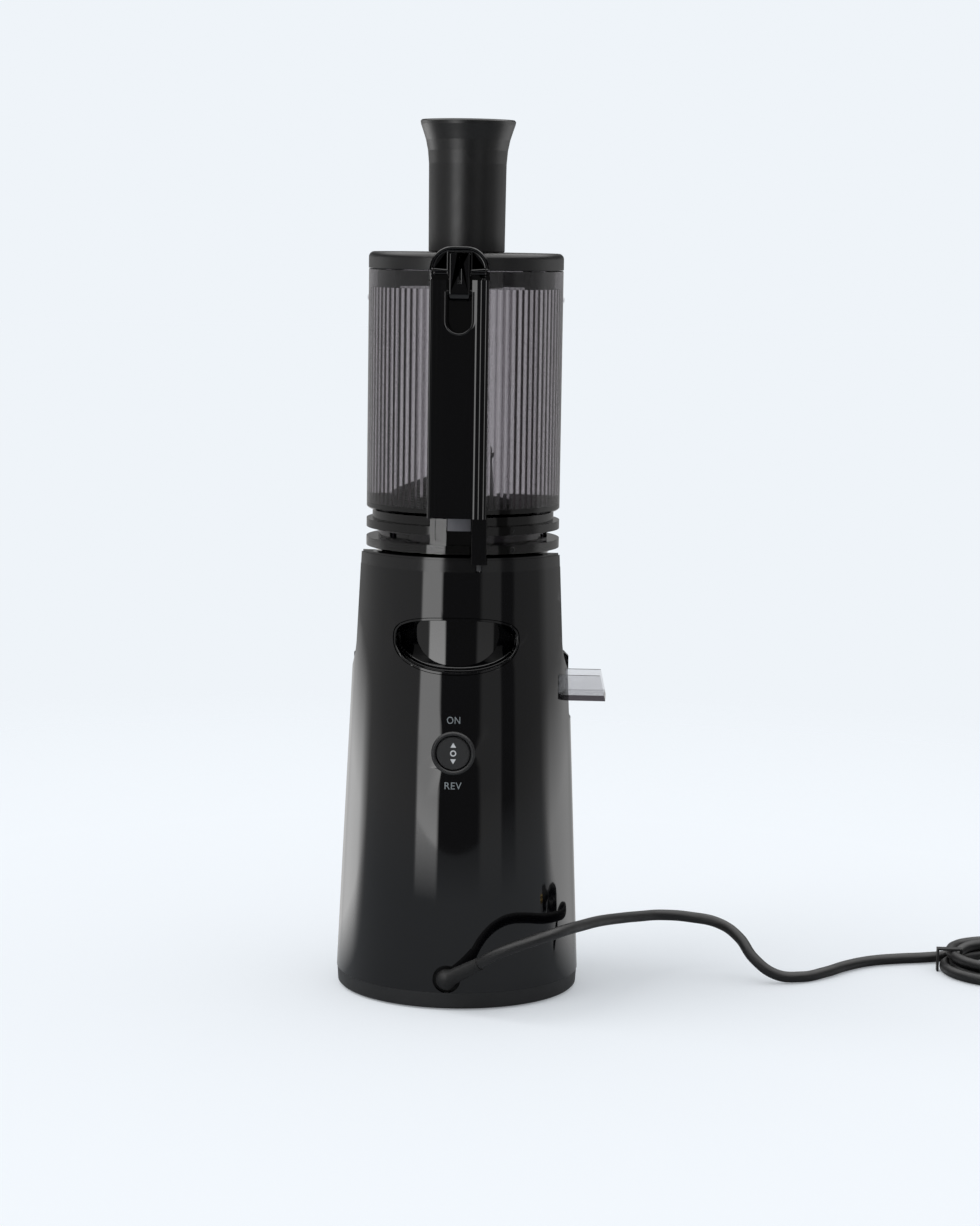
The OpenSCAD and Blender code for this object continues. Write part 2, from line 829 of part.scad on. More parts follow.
// trough of the pulp chute, seen from the rear
module chute_side() {
    polygon([[pocket_x - 1.5, chute_z], [-chute_reach, chute_z], [-chute_reach + chute_slant, chute_top_z],
             [-base_flange_r + 3, chute_top_z], [-base_flange_r + 3, chamber_z],
             [pocket_x - 1.5, chamber_z]]);
}

chute_y0 = chute_y - chute_w / 2;
chute_y1 = chute_y + chute_w / 2;
chute_floor_z = chute_z + 3.3;
drop_x = pocket_x - 14;
flange_inner_r = base_flange_r - 3;

// Drop that the pulp takes from the chamber floor into the chute
module pulp_drop() {
    block([drop_x, -15, chute_floor_z], [pocket_x - 4, 0, chamber_floor_z + 4]);
}

module juicing_chamber() {
    shoulder_z = 272;
    color("#3a3739", 0.75)
        difference() {
            union() {
                disc(chamber_r, base_flange_top_z, shoulder_z);
                translate([0, 0, shoulder_z])
                    cylinder(h = low_flange_z - shoulder_z, r1 = chamber_r, r2 = chamber_r + 8.5);
                disc(drum_r, low_flange_z, low_flange_top_z);
                disc(chamber_neck_r, low_flange_z, chamber_neck_top_z);
            }
            disc(chamber_r - clear_t, chamber_floor_z, chamber_ledge_z + 1);
            disc(48, chamber_ledge_z, chamber_seat_z + 1);
            disc(51, chamber_seat_z, chamber_neck_top_z + 1);
            bar_y(spout_r, -big, -30, 0, spout_z);
            // windows of the bayonet
            for (a = [45, 165, 285])
                rotate([0, 0, a])
                    block([chamber_neck_r - 3, -9, low_flange_top_z + 1], [chamber_neck_r + 5, 9, 290.6]);
        }
}

module chamber_floor() {
    color("#3a3739", 0.75)
        difference() {
            union() {
                disc(chamber_r, chamber_z, base_flange_top_z);
                disc(tower_r, chamber_floor_z, tower_top_z);
                // base flange that carries the body's outline round the front
                difference() {
                    union() {
                        disc(base_flange_r, chamber_z, base_flange_top_z - 2);
                        translate([0, 0, base_flange_top_z - 2])
                            cylinder(h = 2, r1 = base_flange_r, r2 = base_flange_r - 2);
                    }
                    block([-big, -1, 0], [big, big, big * 2]);
                }
            }
            tube(chamber_r - clear_t, tower_r, chamber_floor_z + 3, base_flange_top_z + 1);
            disc(tower_bore_r, 190, tower_top_z + 1);
            pulp_drop();
            // hollow under the base flange, left whole over the chute
            difference() {
                disc(flange_inner_r, chamber_z - 1, base_flange_top_z - 2.5);
                disc(chamber_r, chamber_z - 2, base_flange_top_z);
                block([-big, chute_y0, 0], [0, big, big * 2]);
                block([0, -1, 0], [big, big, big * 2]);
            }
        }
}

module pulp_chute() {
    color("#3a3739", 0.75)
        difference() {
            along_y(chute_y0, chute_y1) chute_side();
            block([-big, chute_y0 + clear_t, chute_floor_z],
                  [pocket_x - 4, chute_y1 - clear_t, chute_top_z + 1]);
            pulp_drop();
        }
}

module juice_spout() {
    ear_x = 5.5;
    ear_half_t = 1.2;
    color("#3a3739", 0.75)
        difference() {
            union() {
                bar_y(spout_r, -spout_reach, -40, 0, spout_z);
                for (side = [-1, 1])
                    block([side * ear_x - ear_half_t, -spout_reach, spout_z + 8],
                          [side * ear_x + ear_half_t, cap_pin_y + 6, cap_pin_z + 2.5]);
            }
            bar_y(spout_bore_r, -spout_reach - 1, -30, 0, spout_z);
            bar_x(1.3, -big, big, cap_pin_y, cap_pin_z);
            disc(chamber_r - clear_t, 200, 250);
        }
}

module chamber_seal() {
    color("#8d8f92") tube(tower_bore_r, 6.6, 212, 218);
}

strainer_r = 41.8;

module strainer_frame() {
    window_turn = 30;
    color("#1b1b1c")
        difference() {
            union() {
                tube(strainer_r, 39.4, chamber_floor_z + 3, chamber_ledge_z + 1);
                tube(47.7, 39.4, chamber_ledge_z, chamber_ledge_z + 2.5);
                tube(strainer_r, 12.2, chamber_floor_z + 3, chamber_floor_z + 4);
            }
            for (a = [0 : window_turn : 330])
                rotate([0, 0, a])
                    for (z = [222, 241, 260])
                        block([30, -6.5, z], [60, 6.5, z + 15]);
            block([-39, -16, 200], [pocket_x - 3, 1, 213]);
        }
}

module strainer_mesh() {
    color("#b9bbbd") tube(39.4, 38.8, 216, 279);
}

function auger_core(z) = 27 - (z - 216) * 0.19;
flight_sections = [for (i = [0 : flight_steps])
    let (u = i / flight_steps, z = 217 + u * 64)
        [u * flight_turns * 360, auger_core(z) - 2, auger_r, z, z + 1.5, 4 - 1.2 * u]];
wing_sections = [for (i = [0 : wing_steps])
    let (u = i / wing_steps, z = 290 + u * 46)
        [i * 9 - 100, 6, 42 - 25 * pow(u, 1.3), z, z + 3, 5 - 2.4 * u]];

module auger() {
    color("#26262a") {
        difference() {
            union() {
                translate([0, 0, auger_z]) cylinder(h = 3.7, r = 30);
                translate([0, 0, 216]) cylinder(h = auger_top_z - 216, r1 = 27, r2 = auger_core(auger_top_z));
                translate([0, 0, auger_top_z]) cylinder(h = 12, r1 = auger_core(auger_top_z), r2 = 9.5);
                translate([0, 0, auger_top_z + 12]) cylinder(h = 44, r1 = 9.5, r2 = 7.5);
                translate([0, 0, auger_top_z + 56]) sphere(r = 7.4);
                helical_blade(flight_sections);
                helical_blade([for (s = flight_sections) [s[0] + 180, s[1], s[2], s[3], s[4], s[5]]]);
                helical_blade(wing_sections);
            }
            disc(tower_r + 0.8, 200, tower_top_z + 1.5);
            translate([0, 0, tower_top_z])
                rotate([0, 0, 30]) cylinder(h = 16, r = (hex_across + 0.5) / 2 / cos(30), $fn = 6);
        }
    }
}

module spout_cap() {
    cap_y = -spout_reach - 0.3;
    color("#19191a")
        difference() {
            union() {
                bar_y(13.4, cap_y - 2.8, cap_y, 0, spout_z);
                bar_y(12.2, cap_y - 3.8, cap_y - 2.7, 0, spout_z);
                block([-3.8, cap_y - 2.8, spout_z + 8], [3.8, cap_y, cap_pin_z]);
                block([-3.8, cap_y - 2.8, cap_pin_z - 2.4], [3.8, cap_pin_y, cap_pin_z + 2.4]);
                bar_x(2.6, -3.8, 3.8, cap_pin_y, cap_pin_z);
                block([-3.2, cap_y - 8, spout_z - 13], [3.2, cap_y - 2.6, spout_z - 10.5]);
            }
            bar_x(1.35, -10, 10, cap_pin_y, cap_pin_z);
        }
}

module cap_seal() {
    color("#a7a9ab") bar_y(spout_bore_r - 0.4, -spout_reach - 0.3, -spout_reach + 1.4, 0, spout_z);
}

module cap_pin() {
    color("#c4c6c9") bar_x(1.3, -6.9, 6.9, cap_pin_y, cap_pin_z);
}

// ---------- hopper ----------

function rib_points() = [
    for (i = [0 : rib_count * 4 - 1])
        let (a = i * 90 / rib_count, r = drum_r - drum_t - rib_depth / 2 * (1 - cos(i * 90)))
            [r * cos(a), r * sin(a)]
];

module column_outline(inset) {
    edge_r = 1;
    x = column_half_w - inset;
    y = column_y - inset;
    translate([-x, 40]) square([2 * x, y - edge_r - 40]);
    translate([-x + edge_r, 40]) square([2 * (x - edge_r), y - 40]);
    for (side = [-1, 1]) translate([side * (x - edge_r), y - edge_r]) circle(edge_r);
}

// what the column's face is short of its edges: a hollow middle and three fine steps on each side
module column_face_cut(z0, z1) {
    intersection() {
        translate([0, column_y - hollow_depth + hollow_r, z0]) cylinder(h = z1 - z0, r = hollow_r);
        block([-hollow_half_w, 60, z0], [hollow_half_w, 80, z1]);
    }
    for (side = [-1, 1], step = face_steps) {
        x = step[0];
        y = column_y - step[1];
        translate([0, 0, z0])
            linear_extrude(z1 - z0)
                polygon([[0, y], [side * x, y],
                         [side * (x + step[2]), column_y + 0.01], [0, column_y + 0.01]]);
    }
}

module hopper() {
    color("#6f6a70", 0.45) {
        translate([0, 0, rib_z])
            linear_extrude(rib_top_z - rib_z)
                difference() {
                    circle(drum_r);
                    polygon(rib_points());
                }
        rotate_extrude()
            polygon([[mouth_r, spigot_z], [50.6, spigot_z], [50.6, high_flange_z], [drum_r, high_flange_z],
                     [drum_r, high_flange_top_z], [hopper_neck_r, high_flange_top_z],
                     [hopper_neck_r, drum_z - 1.2], [hopper_neck_r + 1.2, drum_z], [drum_r - 1, drum_z],
                     [drum_r, drum_z + 1], [drum_r, rib_z], [drum_r - drum_t - rib_depth - 0.3, rib_z],
                     [mouth_r, 299]]);
        rotate_extrude()
            polygon([[drum_r - drum_t + 0.3, rib_top_z], [drum_r, rib_top_z], [drum_r, drum_top_z - 0.5],
                     [drum_r - 0.5, drum_top_z], [drum_r - drum_t + 0.3, drum_top_z]]);
        for (side = [-1, 1])
            bar_x(1.5, side > 0 ? drum_r - 1 : -drum_r - 0.7,
                  side > 0 ? drum_r + 0.7 : -drum_r + 1, 0, 435);
        // block behind the neck, with its clear tab
        difference() {
            union() {
                intersection() {
                    disc(tab_r, 287, column_z);
                    block([-8.6, 50, 287], [16.5, 80, column_z]);
                }
                intersection() {
                    tab_skin(0);
                    along_y(50, 80) tab_outline(0);
                }
            }
            // fine groove that sets off the tab's frame
            difference() {
                along_y(50, 80) tab_outline(3.1);
                along_y(49, 81) tab_outline(3.6);
                tab_skin(0.5);
            }
            disc(chamber_neck_r + 0.6, 280, high_flange_z - 0.1);
            disc(drum_r + 0.35, 280, low_flange_top_z + 0.4);
        }
    }
}

// round surface of the tab, turned a little to the side
module tab_skin(depth) {
    translate([-3, 0, 280]) cylinder(h = 30, r = tab_r + 1 - depth);
}

module tab_outline(inset) {
    corner_r = 2;
    x = 16.5 - inset;
    z = low_flange_top_z + inset;
    translate([6.3, z + corner_r]) square([x - 6.3, column_z - z - corner_r]);
    translate([6.3, z]) square([x - corner_r - 6.3, corner_r]);
    translate([x - corner_r, z + corner_r]) circle(corner_r);
}

module hopper_column() {
    cavity_low_z = column_z + 2;
    color("#09090b")
        difference() {
            translate([0, 0, column_z]) linear_extrude(column_top_z - column_z) column_outline(0);
            disc(drum_r, 200, 500);
            column_face_cut(column_z - 1, column_top_z + 1);
            // hollow behind the face, with ribs left beside the rod and below the pocket
            difference() {
                translate([0, 0, cavity_low_z]) linear_extrude(98) column_outline(2.4);
                disc(drum_r + 1.6, 200, 500);
                block([rod_x - 3, 40, 200], [rod_x + 3.6, 80, 500]);
            }
            // finger-shaped pocket for the hinge knuckle, with its sloped rim
            translate([0, 0, pocket_centre_z]) rotate([-90, 0, 0]) {
                translate([0, 0, pocket_back_y]) cylinder(h = 30, r = pocket_half_w);
                translate([0, 0, column_y - pocket_rim_depth])
                    cylinder(h = pocket_rim_depth + 0.01, r1 = pocket_half_w, r2 = pocket_rim_half_w);
            }
            translate([0, 0, pocket_centre_z])
                linear_extrude(60)
                    polygon([[-pocket_half_w, pocket_back_y], [-pocket_half_w, column_y - pocket_rim_depth],
                             [-pocket_rim_half_w, column_y + 0.01], [pocket_rim_half_w, column_y + 0.01],
                             [pocket_half_w, column_y - pocket_rim_depth], [pocket_half_w, pocket_back_y]]);
            translate([rod_x, rod_y, 200]) cylinder(h = 300, r = rod_r + gap);
            translate([rod_x, rod_y, column_z - 1]) cylinder(h = 5, r = spring_bore_r);
            bar_x(hinge_pin_r, -11.4, 11.4, hinge_y, hinge_z);
        }
}

module interlock_post() {
    color("#0c0c0e")
        difference() {
            block([post_x - post_half_w, post_y - post_half_d, post_z],
                  [post_x + post_half_w, post_y + post_half_d, column_z]);
            translate([rod_x, rod_y, 200]) cylinder(h = 200, r = rod_r + gap);
            translate([rod_x, rod_y, spring_z]) cylinder(h = 50, r = spring_bore_r);
        }
}

module interlock_rod() {
    color("#c4c6c9") {
        translate([rod_x, rod_y, rod_z]) cylinder(h = rod_top_z - rod_z, r = rod_r);
        translate([rod_x, rod_y, rod_flange_z]) cylinder(h = 1.6, r = rod_flange_r);
    }
}

module rod_magnet() {
    color("#5a5c60") translate([rod_x, rod_y, rod_z - magnet_h]) cylinder(h = magnet_h, r = rod_r);
}

module interlock_spring() {
    steps = spring_turns * 12;
    wire_r = 0.3;
    turn_r = 2.1;
    span = rod_flange_z - spring_z - 2 * wire_r;
    color("#b9bbbd")
        translate([rod_x, rod_y, spring_z + wire_r])
            swept_tube([for (i = [0 : steps])
                            [turn_r * cos(i * 30), turn_r * sin(i * 30), i / steps * span]],
                       wire_r, 5);
}

// ---------- lid and pusher ----------

module lid() {
    edge_r = 3.5;
    color("#29292a")
        difference() {
            union() {
                rotate_extrude() {
                    difference() {
                        union() {
                            translate([chute_hole_r, lid_z])
                                square([drum_r + 0.1 - edge_r - chute_hole_r, lid_t]);
                            translate([chute_hole_r, lid_z])
                                square([drum_r + 0.1 - chute_hole_r, lid_t - edge_r]);
                            translate([drum_r + 0.1 - edge_r, lid_top_z - edge_r]) circle(edge_r);
                        }
                        translate([chute_hole_r + 2.5, lid_z - 1])
                            square([skirt_r - 2 - chute_hole_r - 2.5, lid_t - 2]);
                    }
                    translate([chute_hole_r, skirt_z]) square([2.5, lid_top_z - skirt_z]);
                    translate([skirt_r - 2, skirt_z]) square([2, lid_z + 2 - skirt_z]);
                }
            }
            // room at the back for the skirt to swing out of the drum
            block([-skirt_gap_x, skirt_gap_y, skirt_z - 1], [skirt_gap_x, 70, lid_z]);
        }
}

// D-shaped outline of the hinge cover, seen from the rear
module hood_outline(inset) {
    top_r = 14 - inset;
    low_r = 2 - inset / 2;
    w = hood_half_w - inset;
    top_z = hood_top_z - inset;
    intersection() {
        union() {
            for (side = [-1, 1]) translate([side * (w - top_r), top_z - top_r]) circle(top_r);
            translate([-w + top_r, hood_z]) square([2 * (w - top_r), top_z - hood_z]);
        }
        union() {
            for (side = [-1, 1]) translate([side * (w - low_r), hood_z + low_r]) circle(low_r);
            translate([-w, hood_z + low_r]) square([2 * w, top_z]);
            translate([-w + low_r, hood_z]) square([2 * (w - low_r), top_z]);
        }
    }
}

module lid_hinge_cover() {
    arm_y = hinge_y + knuckle_r;
    rim_t = 1.8;
    color("#070708")
        difference() {
            union() {
                difference() {
                    union() {
                        along_y(55, hood_back_y) hood_outline(0);
                        block([-hood_neck_half_w, 55, hood_neck_z],
                              [hood_neck_half_w, hood_back_y - 2.5, hood_z + 5]);
                    }
                    // everything the lid itself fills
                    disc(drum_r + 0.1, lid_z - 5, lid_top_z);
                    // face set in behind a rim that is open at the bottom
                    along_y(hood_back_y - 2.5, 90) {
                        hood_outline(rim_t);
                        translate([-hood_half_w + 3, hood_z - 1]) square([2 * hood_half_w - 6, 5]);
                    }
                }
                block([-knuckle_half_w, pocket_back_y + 0.3, hinge_z], [knuckle_half_w, arm_y, hood_z + 10]);
                bar_x(knuckle_r, -knuckle_half_w, knuckle_half_w, hinge_y, hinge_z);
                translate([rod_x, rod_y - 1, rod_top_z + gap]) cylinder(h = 4, r = 2);
            }
            // parting line of the arm
            block([-0.25, arm_y - 0.5, hinge_z + 6], [0.25, arm_y + 1, hood_z + 9]);
            bar_x(hinge_pin_r + slip, -20, 20, hinge_y, hinge_z);
            disc(drum_r + 0.4, 430, lid_z);
            disc(drum_r + 0.1, lid_z - 1, lid_top_z);
        }
}

module hinge_pin() {
    color("#c4c6c9") bar_x(hinge_pin_r, -11.4, 11.4, hinge_y, hinge_z);
}

module pusher() {
    shoulder_z = lid_top_z + 0.2;
    floor_z = 443.6;
    t = 2.4;
    color("#232324")
        rotate_extrude()
            polygon([[0, floor_z], [chute_hole_r - 1.4, floor_z], [chute_hole_r - 0.4, floor_z + 1],
                     [chute_hole_r - 0.4, shoulder_z], [pusher_r - 0.6, shoulder_z],
                     [pusher_r, shoulder_z + 0.6], [24.1, 518], [24.8, 526], [26.1, 532.5],
                     [27.7, 537.5], [flare_r - 0.4, 541.8], [flare_r, pusher_top_z - 1],
                     [flare_r - 0.8, pusher_top_z], [flare_r - 2, pusher_top_z],
                     [flare_r - 2.6, 541.5], [27.7 - t, 537.8], [26.1 - t, 533], [24.8 - t, 526.5],
                     [24.1 - t, 518], [pusher_r - t - 2, shoulder_z + 3],
                      [chute_hole_r - t - 0.4, shoulder_z],
                     [chute_hole_r - t - 0.4, floor_z + t], [0, floor_z + t]]);
}

module pusher_cap() {
    color("#232324")
        rotate_extrude()
            polygon([[0, 538.3], [25.2, 538.3], [flare_r - 2.8, 541.5], [flare_r - 2.1, pusher_top_z - 0.4],
                     [flare_r - 3.4, pusher_top_z - 0.4], [24, 541.6], [14, 540.6], [0, 540.3]]);
}

// ---------- cord ----------

module cable_gland() {
    base = [gland_x, gland_y + 1, gland_z];
    run = relief_end - base;
    turn = atan2(run[1], run[0]);
    tilt = acos(run[2] / norm(run));
    color("#141415") {
        difference() {
            bar_y(gland_r, 66, gland_y + 1, gland_x, gland_z);
            bar_y(3.6, 60, 72, gland_x, gland_z);
        }
        bar_y(gland_hole_r + 1, 68, body_r(gland_z + 12) - 3.6, gland_x, gland_z);
        translate(base) sphere(r = gland_r - 0.1);
        translate(base) rotate([0, 0, turn]) rotate([0, tilt, 0])
            cylinder(h = norm(run), r1 = 5, r2 = 4);
    }
}

module power_cord() {
    color("#101011") swept_tube(smooth_route(cord_route, 2), cord_d / 2, 10);
}

module cord_coil() {
    color("#101011")
        translate([coil_x, coil_y, 0])
            rotate_extrude()
                translate([coil_r - cord_d / 2, 0]) square([2 * cord_d, coil_h]);
}

module cord_tail() {
    tail_x = coil_x - coil_outer_r;
    color("#101011")
        swept_tube([[tail_x, coil_y, tail_z], [tail_x, coil_y + 12, tail_z - 0.4],
                    [tail_x, coil_y + 22, plug_z + 0.4], [tail_x, coil_y + 30, plug_z],
                    [tail_x, plug_y, plug_z]], cord_d / 2, 10);
}

module cord_tie() {
    band = 1.2;
    color("#0d0d0e")
        translate([coil_x, coil_y, 0])
            difference() {
                block([coil_r - cord_d / 2 - band, -3, 0],
                      [coil_outer_r + cord_d / 2 + band, 3, coil_h + band]);
                tube(coil_outer_r + cord_d / 2, coil_r - cord_d / 2, -1, coil_h);
            }
}

module plug_body() {
    plug_x = coil_x - coil_outer_r;
    color("#121213")
        translate([plug_x, plug_y, plug_z]) rotate([-90, 0, 0]) {
            cylinder(h = 16, r1 = 4.2, r2 = 6);
            translate([0, 0, 15])
                linear_extrude(30)
                    union() {
                        square([22, 2 * plug_z], center = true);
                        for (side = [-1, 1]) translate([side * 10, 0]) circle(plug_z);
                    }
        }
}

module plug_pins() {
    plug_x = coil_x - coil_outer_r;
    color("#c9a94f")
        for (side = [-1, 1])
            translate([plug_x + side * 9.5, plug_y + 45, plug_z]) rotate([-90, 0, 0]) {
                cylinder(h = 17, r = 2);
                translate([0, 0, 17]) cylinder(h = 1.5, r1 = 2, r2 = 1);
            }
}

rubber_feet();
base_cover();
base_screws();
motor_housing();
rear_liner();
top_collar();
grip_cup();
switch_bezel();
switch_rocker();
switch_body();
control_board();
motor_can();
motor_magnets();
motor_end_cap();
motor_bushes();
motor_rotor();
motor_screws();
gearbox_case();
gearbox_cover();
gearbox_screws();
idler_axle();
idler_gear();
output_gear();
drive_shaft();
shaft_bushes();
deck_seal();
juicing_chamber();
chamber_floor();
pulp_chute();
juice_spout();
chamber_seal();
strainer_frame();
strainer_mesh();
auger();
spout_cap();
cap_seal();
cap_pin();
hopper();
hopper_column();
interlock_post();
interlock_rod();
rod_magnet();
interlock_spring();
reed_switch();
lid();
lid_hinge_cover();
hinge_pin();
pusher();
pusher_cap();
cable_gland();
power_cord();
cord_coil();
cord_tail();
cord_tie();
plug_body();
plug_pins();
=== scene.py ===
"""Cold press juicer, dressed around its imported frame.

The frame holds the moulded shells, the drive and the joints. This script gives every part its
finish, rounds the edges that a moulding rounds, models the mains lead and the printed and moulded
marks, and sets a plain pale studio with the camera behind the machine. Lengths are in metres
unless a name ends in _mm.
"""

from __future__ import annotations

import logging
import math
from contextlib import contextmanager
from dataclasses import dataclass
from enum import Enum
from typing import Iterator, Sequence

import bmesh
import bpy
from mathutils import Matrix, Vector


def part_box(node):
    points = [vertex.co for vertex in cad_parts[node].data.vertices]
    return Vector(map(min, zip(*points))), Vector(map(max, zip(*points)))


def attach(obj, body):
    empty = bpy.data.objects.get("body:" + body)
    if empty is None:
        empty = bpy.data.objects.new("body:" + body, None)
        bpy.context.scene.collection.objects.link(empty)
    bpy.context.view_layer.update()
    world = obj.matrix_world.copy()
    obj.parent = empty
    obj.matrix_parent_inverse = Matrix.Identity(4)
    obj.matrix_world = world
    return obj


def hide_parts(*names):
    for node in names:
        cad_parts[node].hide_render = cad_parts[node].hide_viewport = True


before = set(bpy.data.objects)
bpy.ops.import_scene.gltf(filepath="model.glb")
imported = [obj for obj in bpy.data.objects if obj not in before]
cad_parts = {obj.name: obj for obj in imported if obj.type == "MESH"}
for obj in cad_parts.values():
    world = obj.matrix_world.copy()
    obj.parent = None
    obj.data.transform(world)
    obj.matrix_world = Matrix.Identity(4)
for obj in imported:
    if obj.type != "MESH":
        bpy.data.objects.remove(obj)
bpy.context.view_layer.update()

logging.basicConfig(level=logging.INFO, format="%(name)s: %(message)s")
log = logging.getLogger("juicer")

Colour = tuple[float, float, float]
Point = tuple[float, float, float]
MM = 0.001
WHITE = (1.0, 1.0, 1.0)
SAME_POINT = 1e-6


# ---------------------------------------------------------------------------------------------
# Node graphs and finishes
# ---------------------------------------------------------------------------------------------


class Graph:
    """A short hand for building one material's or the world's nodes."""

    def __init__(self, tree: bpy.types.NodeTree) -> None:
        """Take a tree and empty it.

        Args:
            tree: the node tree to fill.
        """
        self.tree = tree
        tree.nodes.clear()

    def add(self, kind: str, **settings: object) -> bpy.types.Node:
        """Add a node, set its properties, and set or link its inputs.

        Args:
            kind: the node's type name.
            settings: properties by name; a key that starts with in_ is an input's name or
                number, whose value is a constant or another node's output socket.

        Returns:
            The new node.
        """
        node = self.tree.nodes.new(kind)
        for key, value in settings.items():
            if not key.startswith("in_"):
                setattr(node, key, value)
        for key, value in settings.items():
            if key.startswith("in_"):
                name = key[3:]
                socket = node.inputs[int(name) if name.isdigit() else name.replace("_", " ")]
                if isinstance(value, bpy.types.NodeSocket):
                    self.tree.links.new(value, socket)
                else:
                    socket.default_value = value
        return node

    def math(self, operation: str, *values: object) -> bpy.types.NodeSocket:
        """Add a Math node.

        Args:
            operation: the node's operation.
            values: constants or sockets, one for each input.

        Returns:
            Its output.
        """
        inputs = {f"in_{i}": value for i, value in enumerate(values)}
        return self.add("ShaderNodeMath", operation=operation, **inputs).outputs[0]

    def ramp(
        self, factor: bpy.types.NodeSocket, stops: Sequence[tuple[float, Colour]]
    ) -> bpy.types.NodeSocket:
        """Add a Color Ramp.

        Args:
            factor: what drives it.
            stops: places from 0 to 1, each with its colour.

        Returns:
            Its colour output.
        """
        node = self.add("ShaderNodeValToRGB", in_Fac=factor)
        elements = node.color_ramp.elements
        while len(elements) > 1:
            elements.remove(elements[-1])
        elements[0].position = stops[0][0]
        elements[0].color = (*stops[0][1], 1)
        for place, colour in stops[1:]:
            elements.new(place).color = (*colour, 1)
        return node.outputs["Color"]

    def blend(
        self, way: str, first: bpy.types.NodeSocket, second: bpy.types.NodeSocket
    ) -> bpy.types.NodeSocket:
        """Blend two colours in full.

        Args:
            way: the blend type.
            first: the colour below.
            second: the colour above.

        Returns:
            The blended colour.
        """
        node = self.add(
            "ShaderNodeMix", data_type="RGBA", blend_type=way, in_0=1.0, in_6=first, in_7=second
        )
        return node.outputs[2]

    def place(self) -> bpy.types.NodeSocket:
        """Give the place on the piece, in its own coordinates."""
        return self.add("ShaderNodeTexCoord").outputs["Object"]

    def noise(
        self, scale: float, detail: float = 2.0, stretch: Point = (1, 1, 1)
    ) -> bpy.types.NodeSocket:
        """Add noise that follows the piece.

        Args:
            scale: cells to a metre.
            detail: octaves.
            stretch: scale of the pattern along each axis.

        Returns:
            The noise's value.
        """
        where = self.place()
        if stretch != (1, 1, 1):
            where = self.add("ShaderNodeMapping", in_Vector=where, in_Scale=stretch).outputs[0]
        node = self.add("ShaderNodeTexNoise", in_Vector=where, in_Scale=scale, in_Detail=detail)
        return node.outputs[0]

    def spread(
        self,
        value: bpy.types.NodeSocket,
        low: float,
        high: float,
        start: float = 0.3,
        end: float = 0.7,
    ) -> bpy.types.NodeSocket:
        """Map part of a value's range to other limits, and hold it outside.

        Args:
            value: the value.
            low: what its start becomes.
            high: what its end becomes.
            start: the start of the part, which suits noise.
            end: the end of the part.

        Returns:
            The mapped value.
        """
        node = self.add(
            "ShaderNodeMapRange", in_0=value, in_1=start, in_2=end, in_3=low, in_4=high
        )
        return node.outputs[0]


def new_material(name: str) -> tuple[bpy.types.Material, Graph]:
    """Start a material with empty nodes.

    Args:
        name: its name.

    Returns:
        The material and its graph.
    """
    material = bpy.data.materials.new(name)
    material.use_nodes = True
    return material, Graph(material.node_tree)


@dataclass(frozen=True)
class Finish:
    """A moulded, cast or drawn surface: its colour, its gloss and the grain seen close to.

    Attributes:
        name: its name.
        colour: linear colour.
        rough: roughness in its smooth and its dull places.
        metal: 1 for bare metal.
        mottle: share by which the colour drifts over the surface.
        mottle_scale: cells of that drift to a metre.
        grain_mm: depth of the surface grain.
        grain_scale: grains to a metre.
        stretch: scale of the grain along each axis, for drawn or brushed metal.
    """

    name: str
    colour: Colour
    rough: tuple[float, float]
    metal: float = 0.0
    mottle: float = 0.12
    mottle_scale: float = 60.0
    grain_mm: float = 0.0
    grain_scale: float = 1500.0
    stretch: Point = (1, 1, 1)

    def build(self, title: str) -> bpy.types.Material:
        """Make the material.

        Args:
            title: its full name.

        Returns:
            The material.
        """
        material, graph = new_material(title)
        drift = graph.noise(self.mottle_scale, 3.0)
        dark = tuple(c * (1 - self.mottle) for c in self.colour)
        light = tuple(min(1.0, c * (1 + self.mottle)) for c in self.colour)
        shader = graph.add(
            "ShaderNodeBsdfPrincipled",
            in_Base_Color=graph.ramp(drift, [(0.3, dark), (0.7, light)]),
            in_Roughness=graph.spread(graph.noise(self.mottle_scale * 2.3, 4.0), *self.rough),
            in_Metallic=self.metal,
        )
        if self.grain_mm:
            height = graph.noise(self.grain_scale, 2.0, self.stretch)
            bump = graph.add(
                "ShaderNodeBump", in_Height=height, in_Distance=self.grain_mm * MM, in_Strength=1.0
            )
            graph.tree.links.new(bump.outputs[0], shader.inputs["Normal"])
        graph.add("ShaderNodeOutputMaterial", in_Surface=shader.outputs[0])
        return material


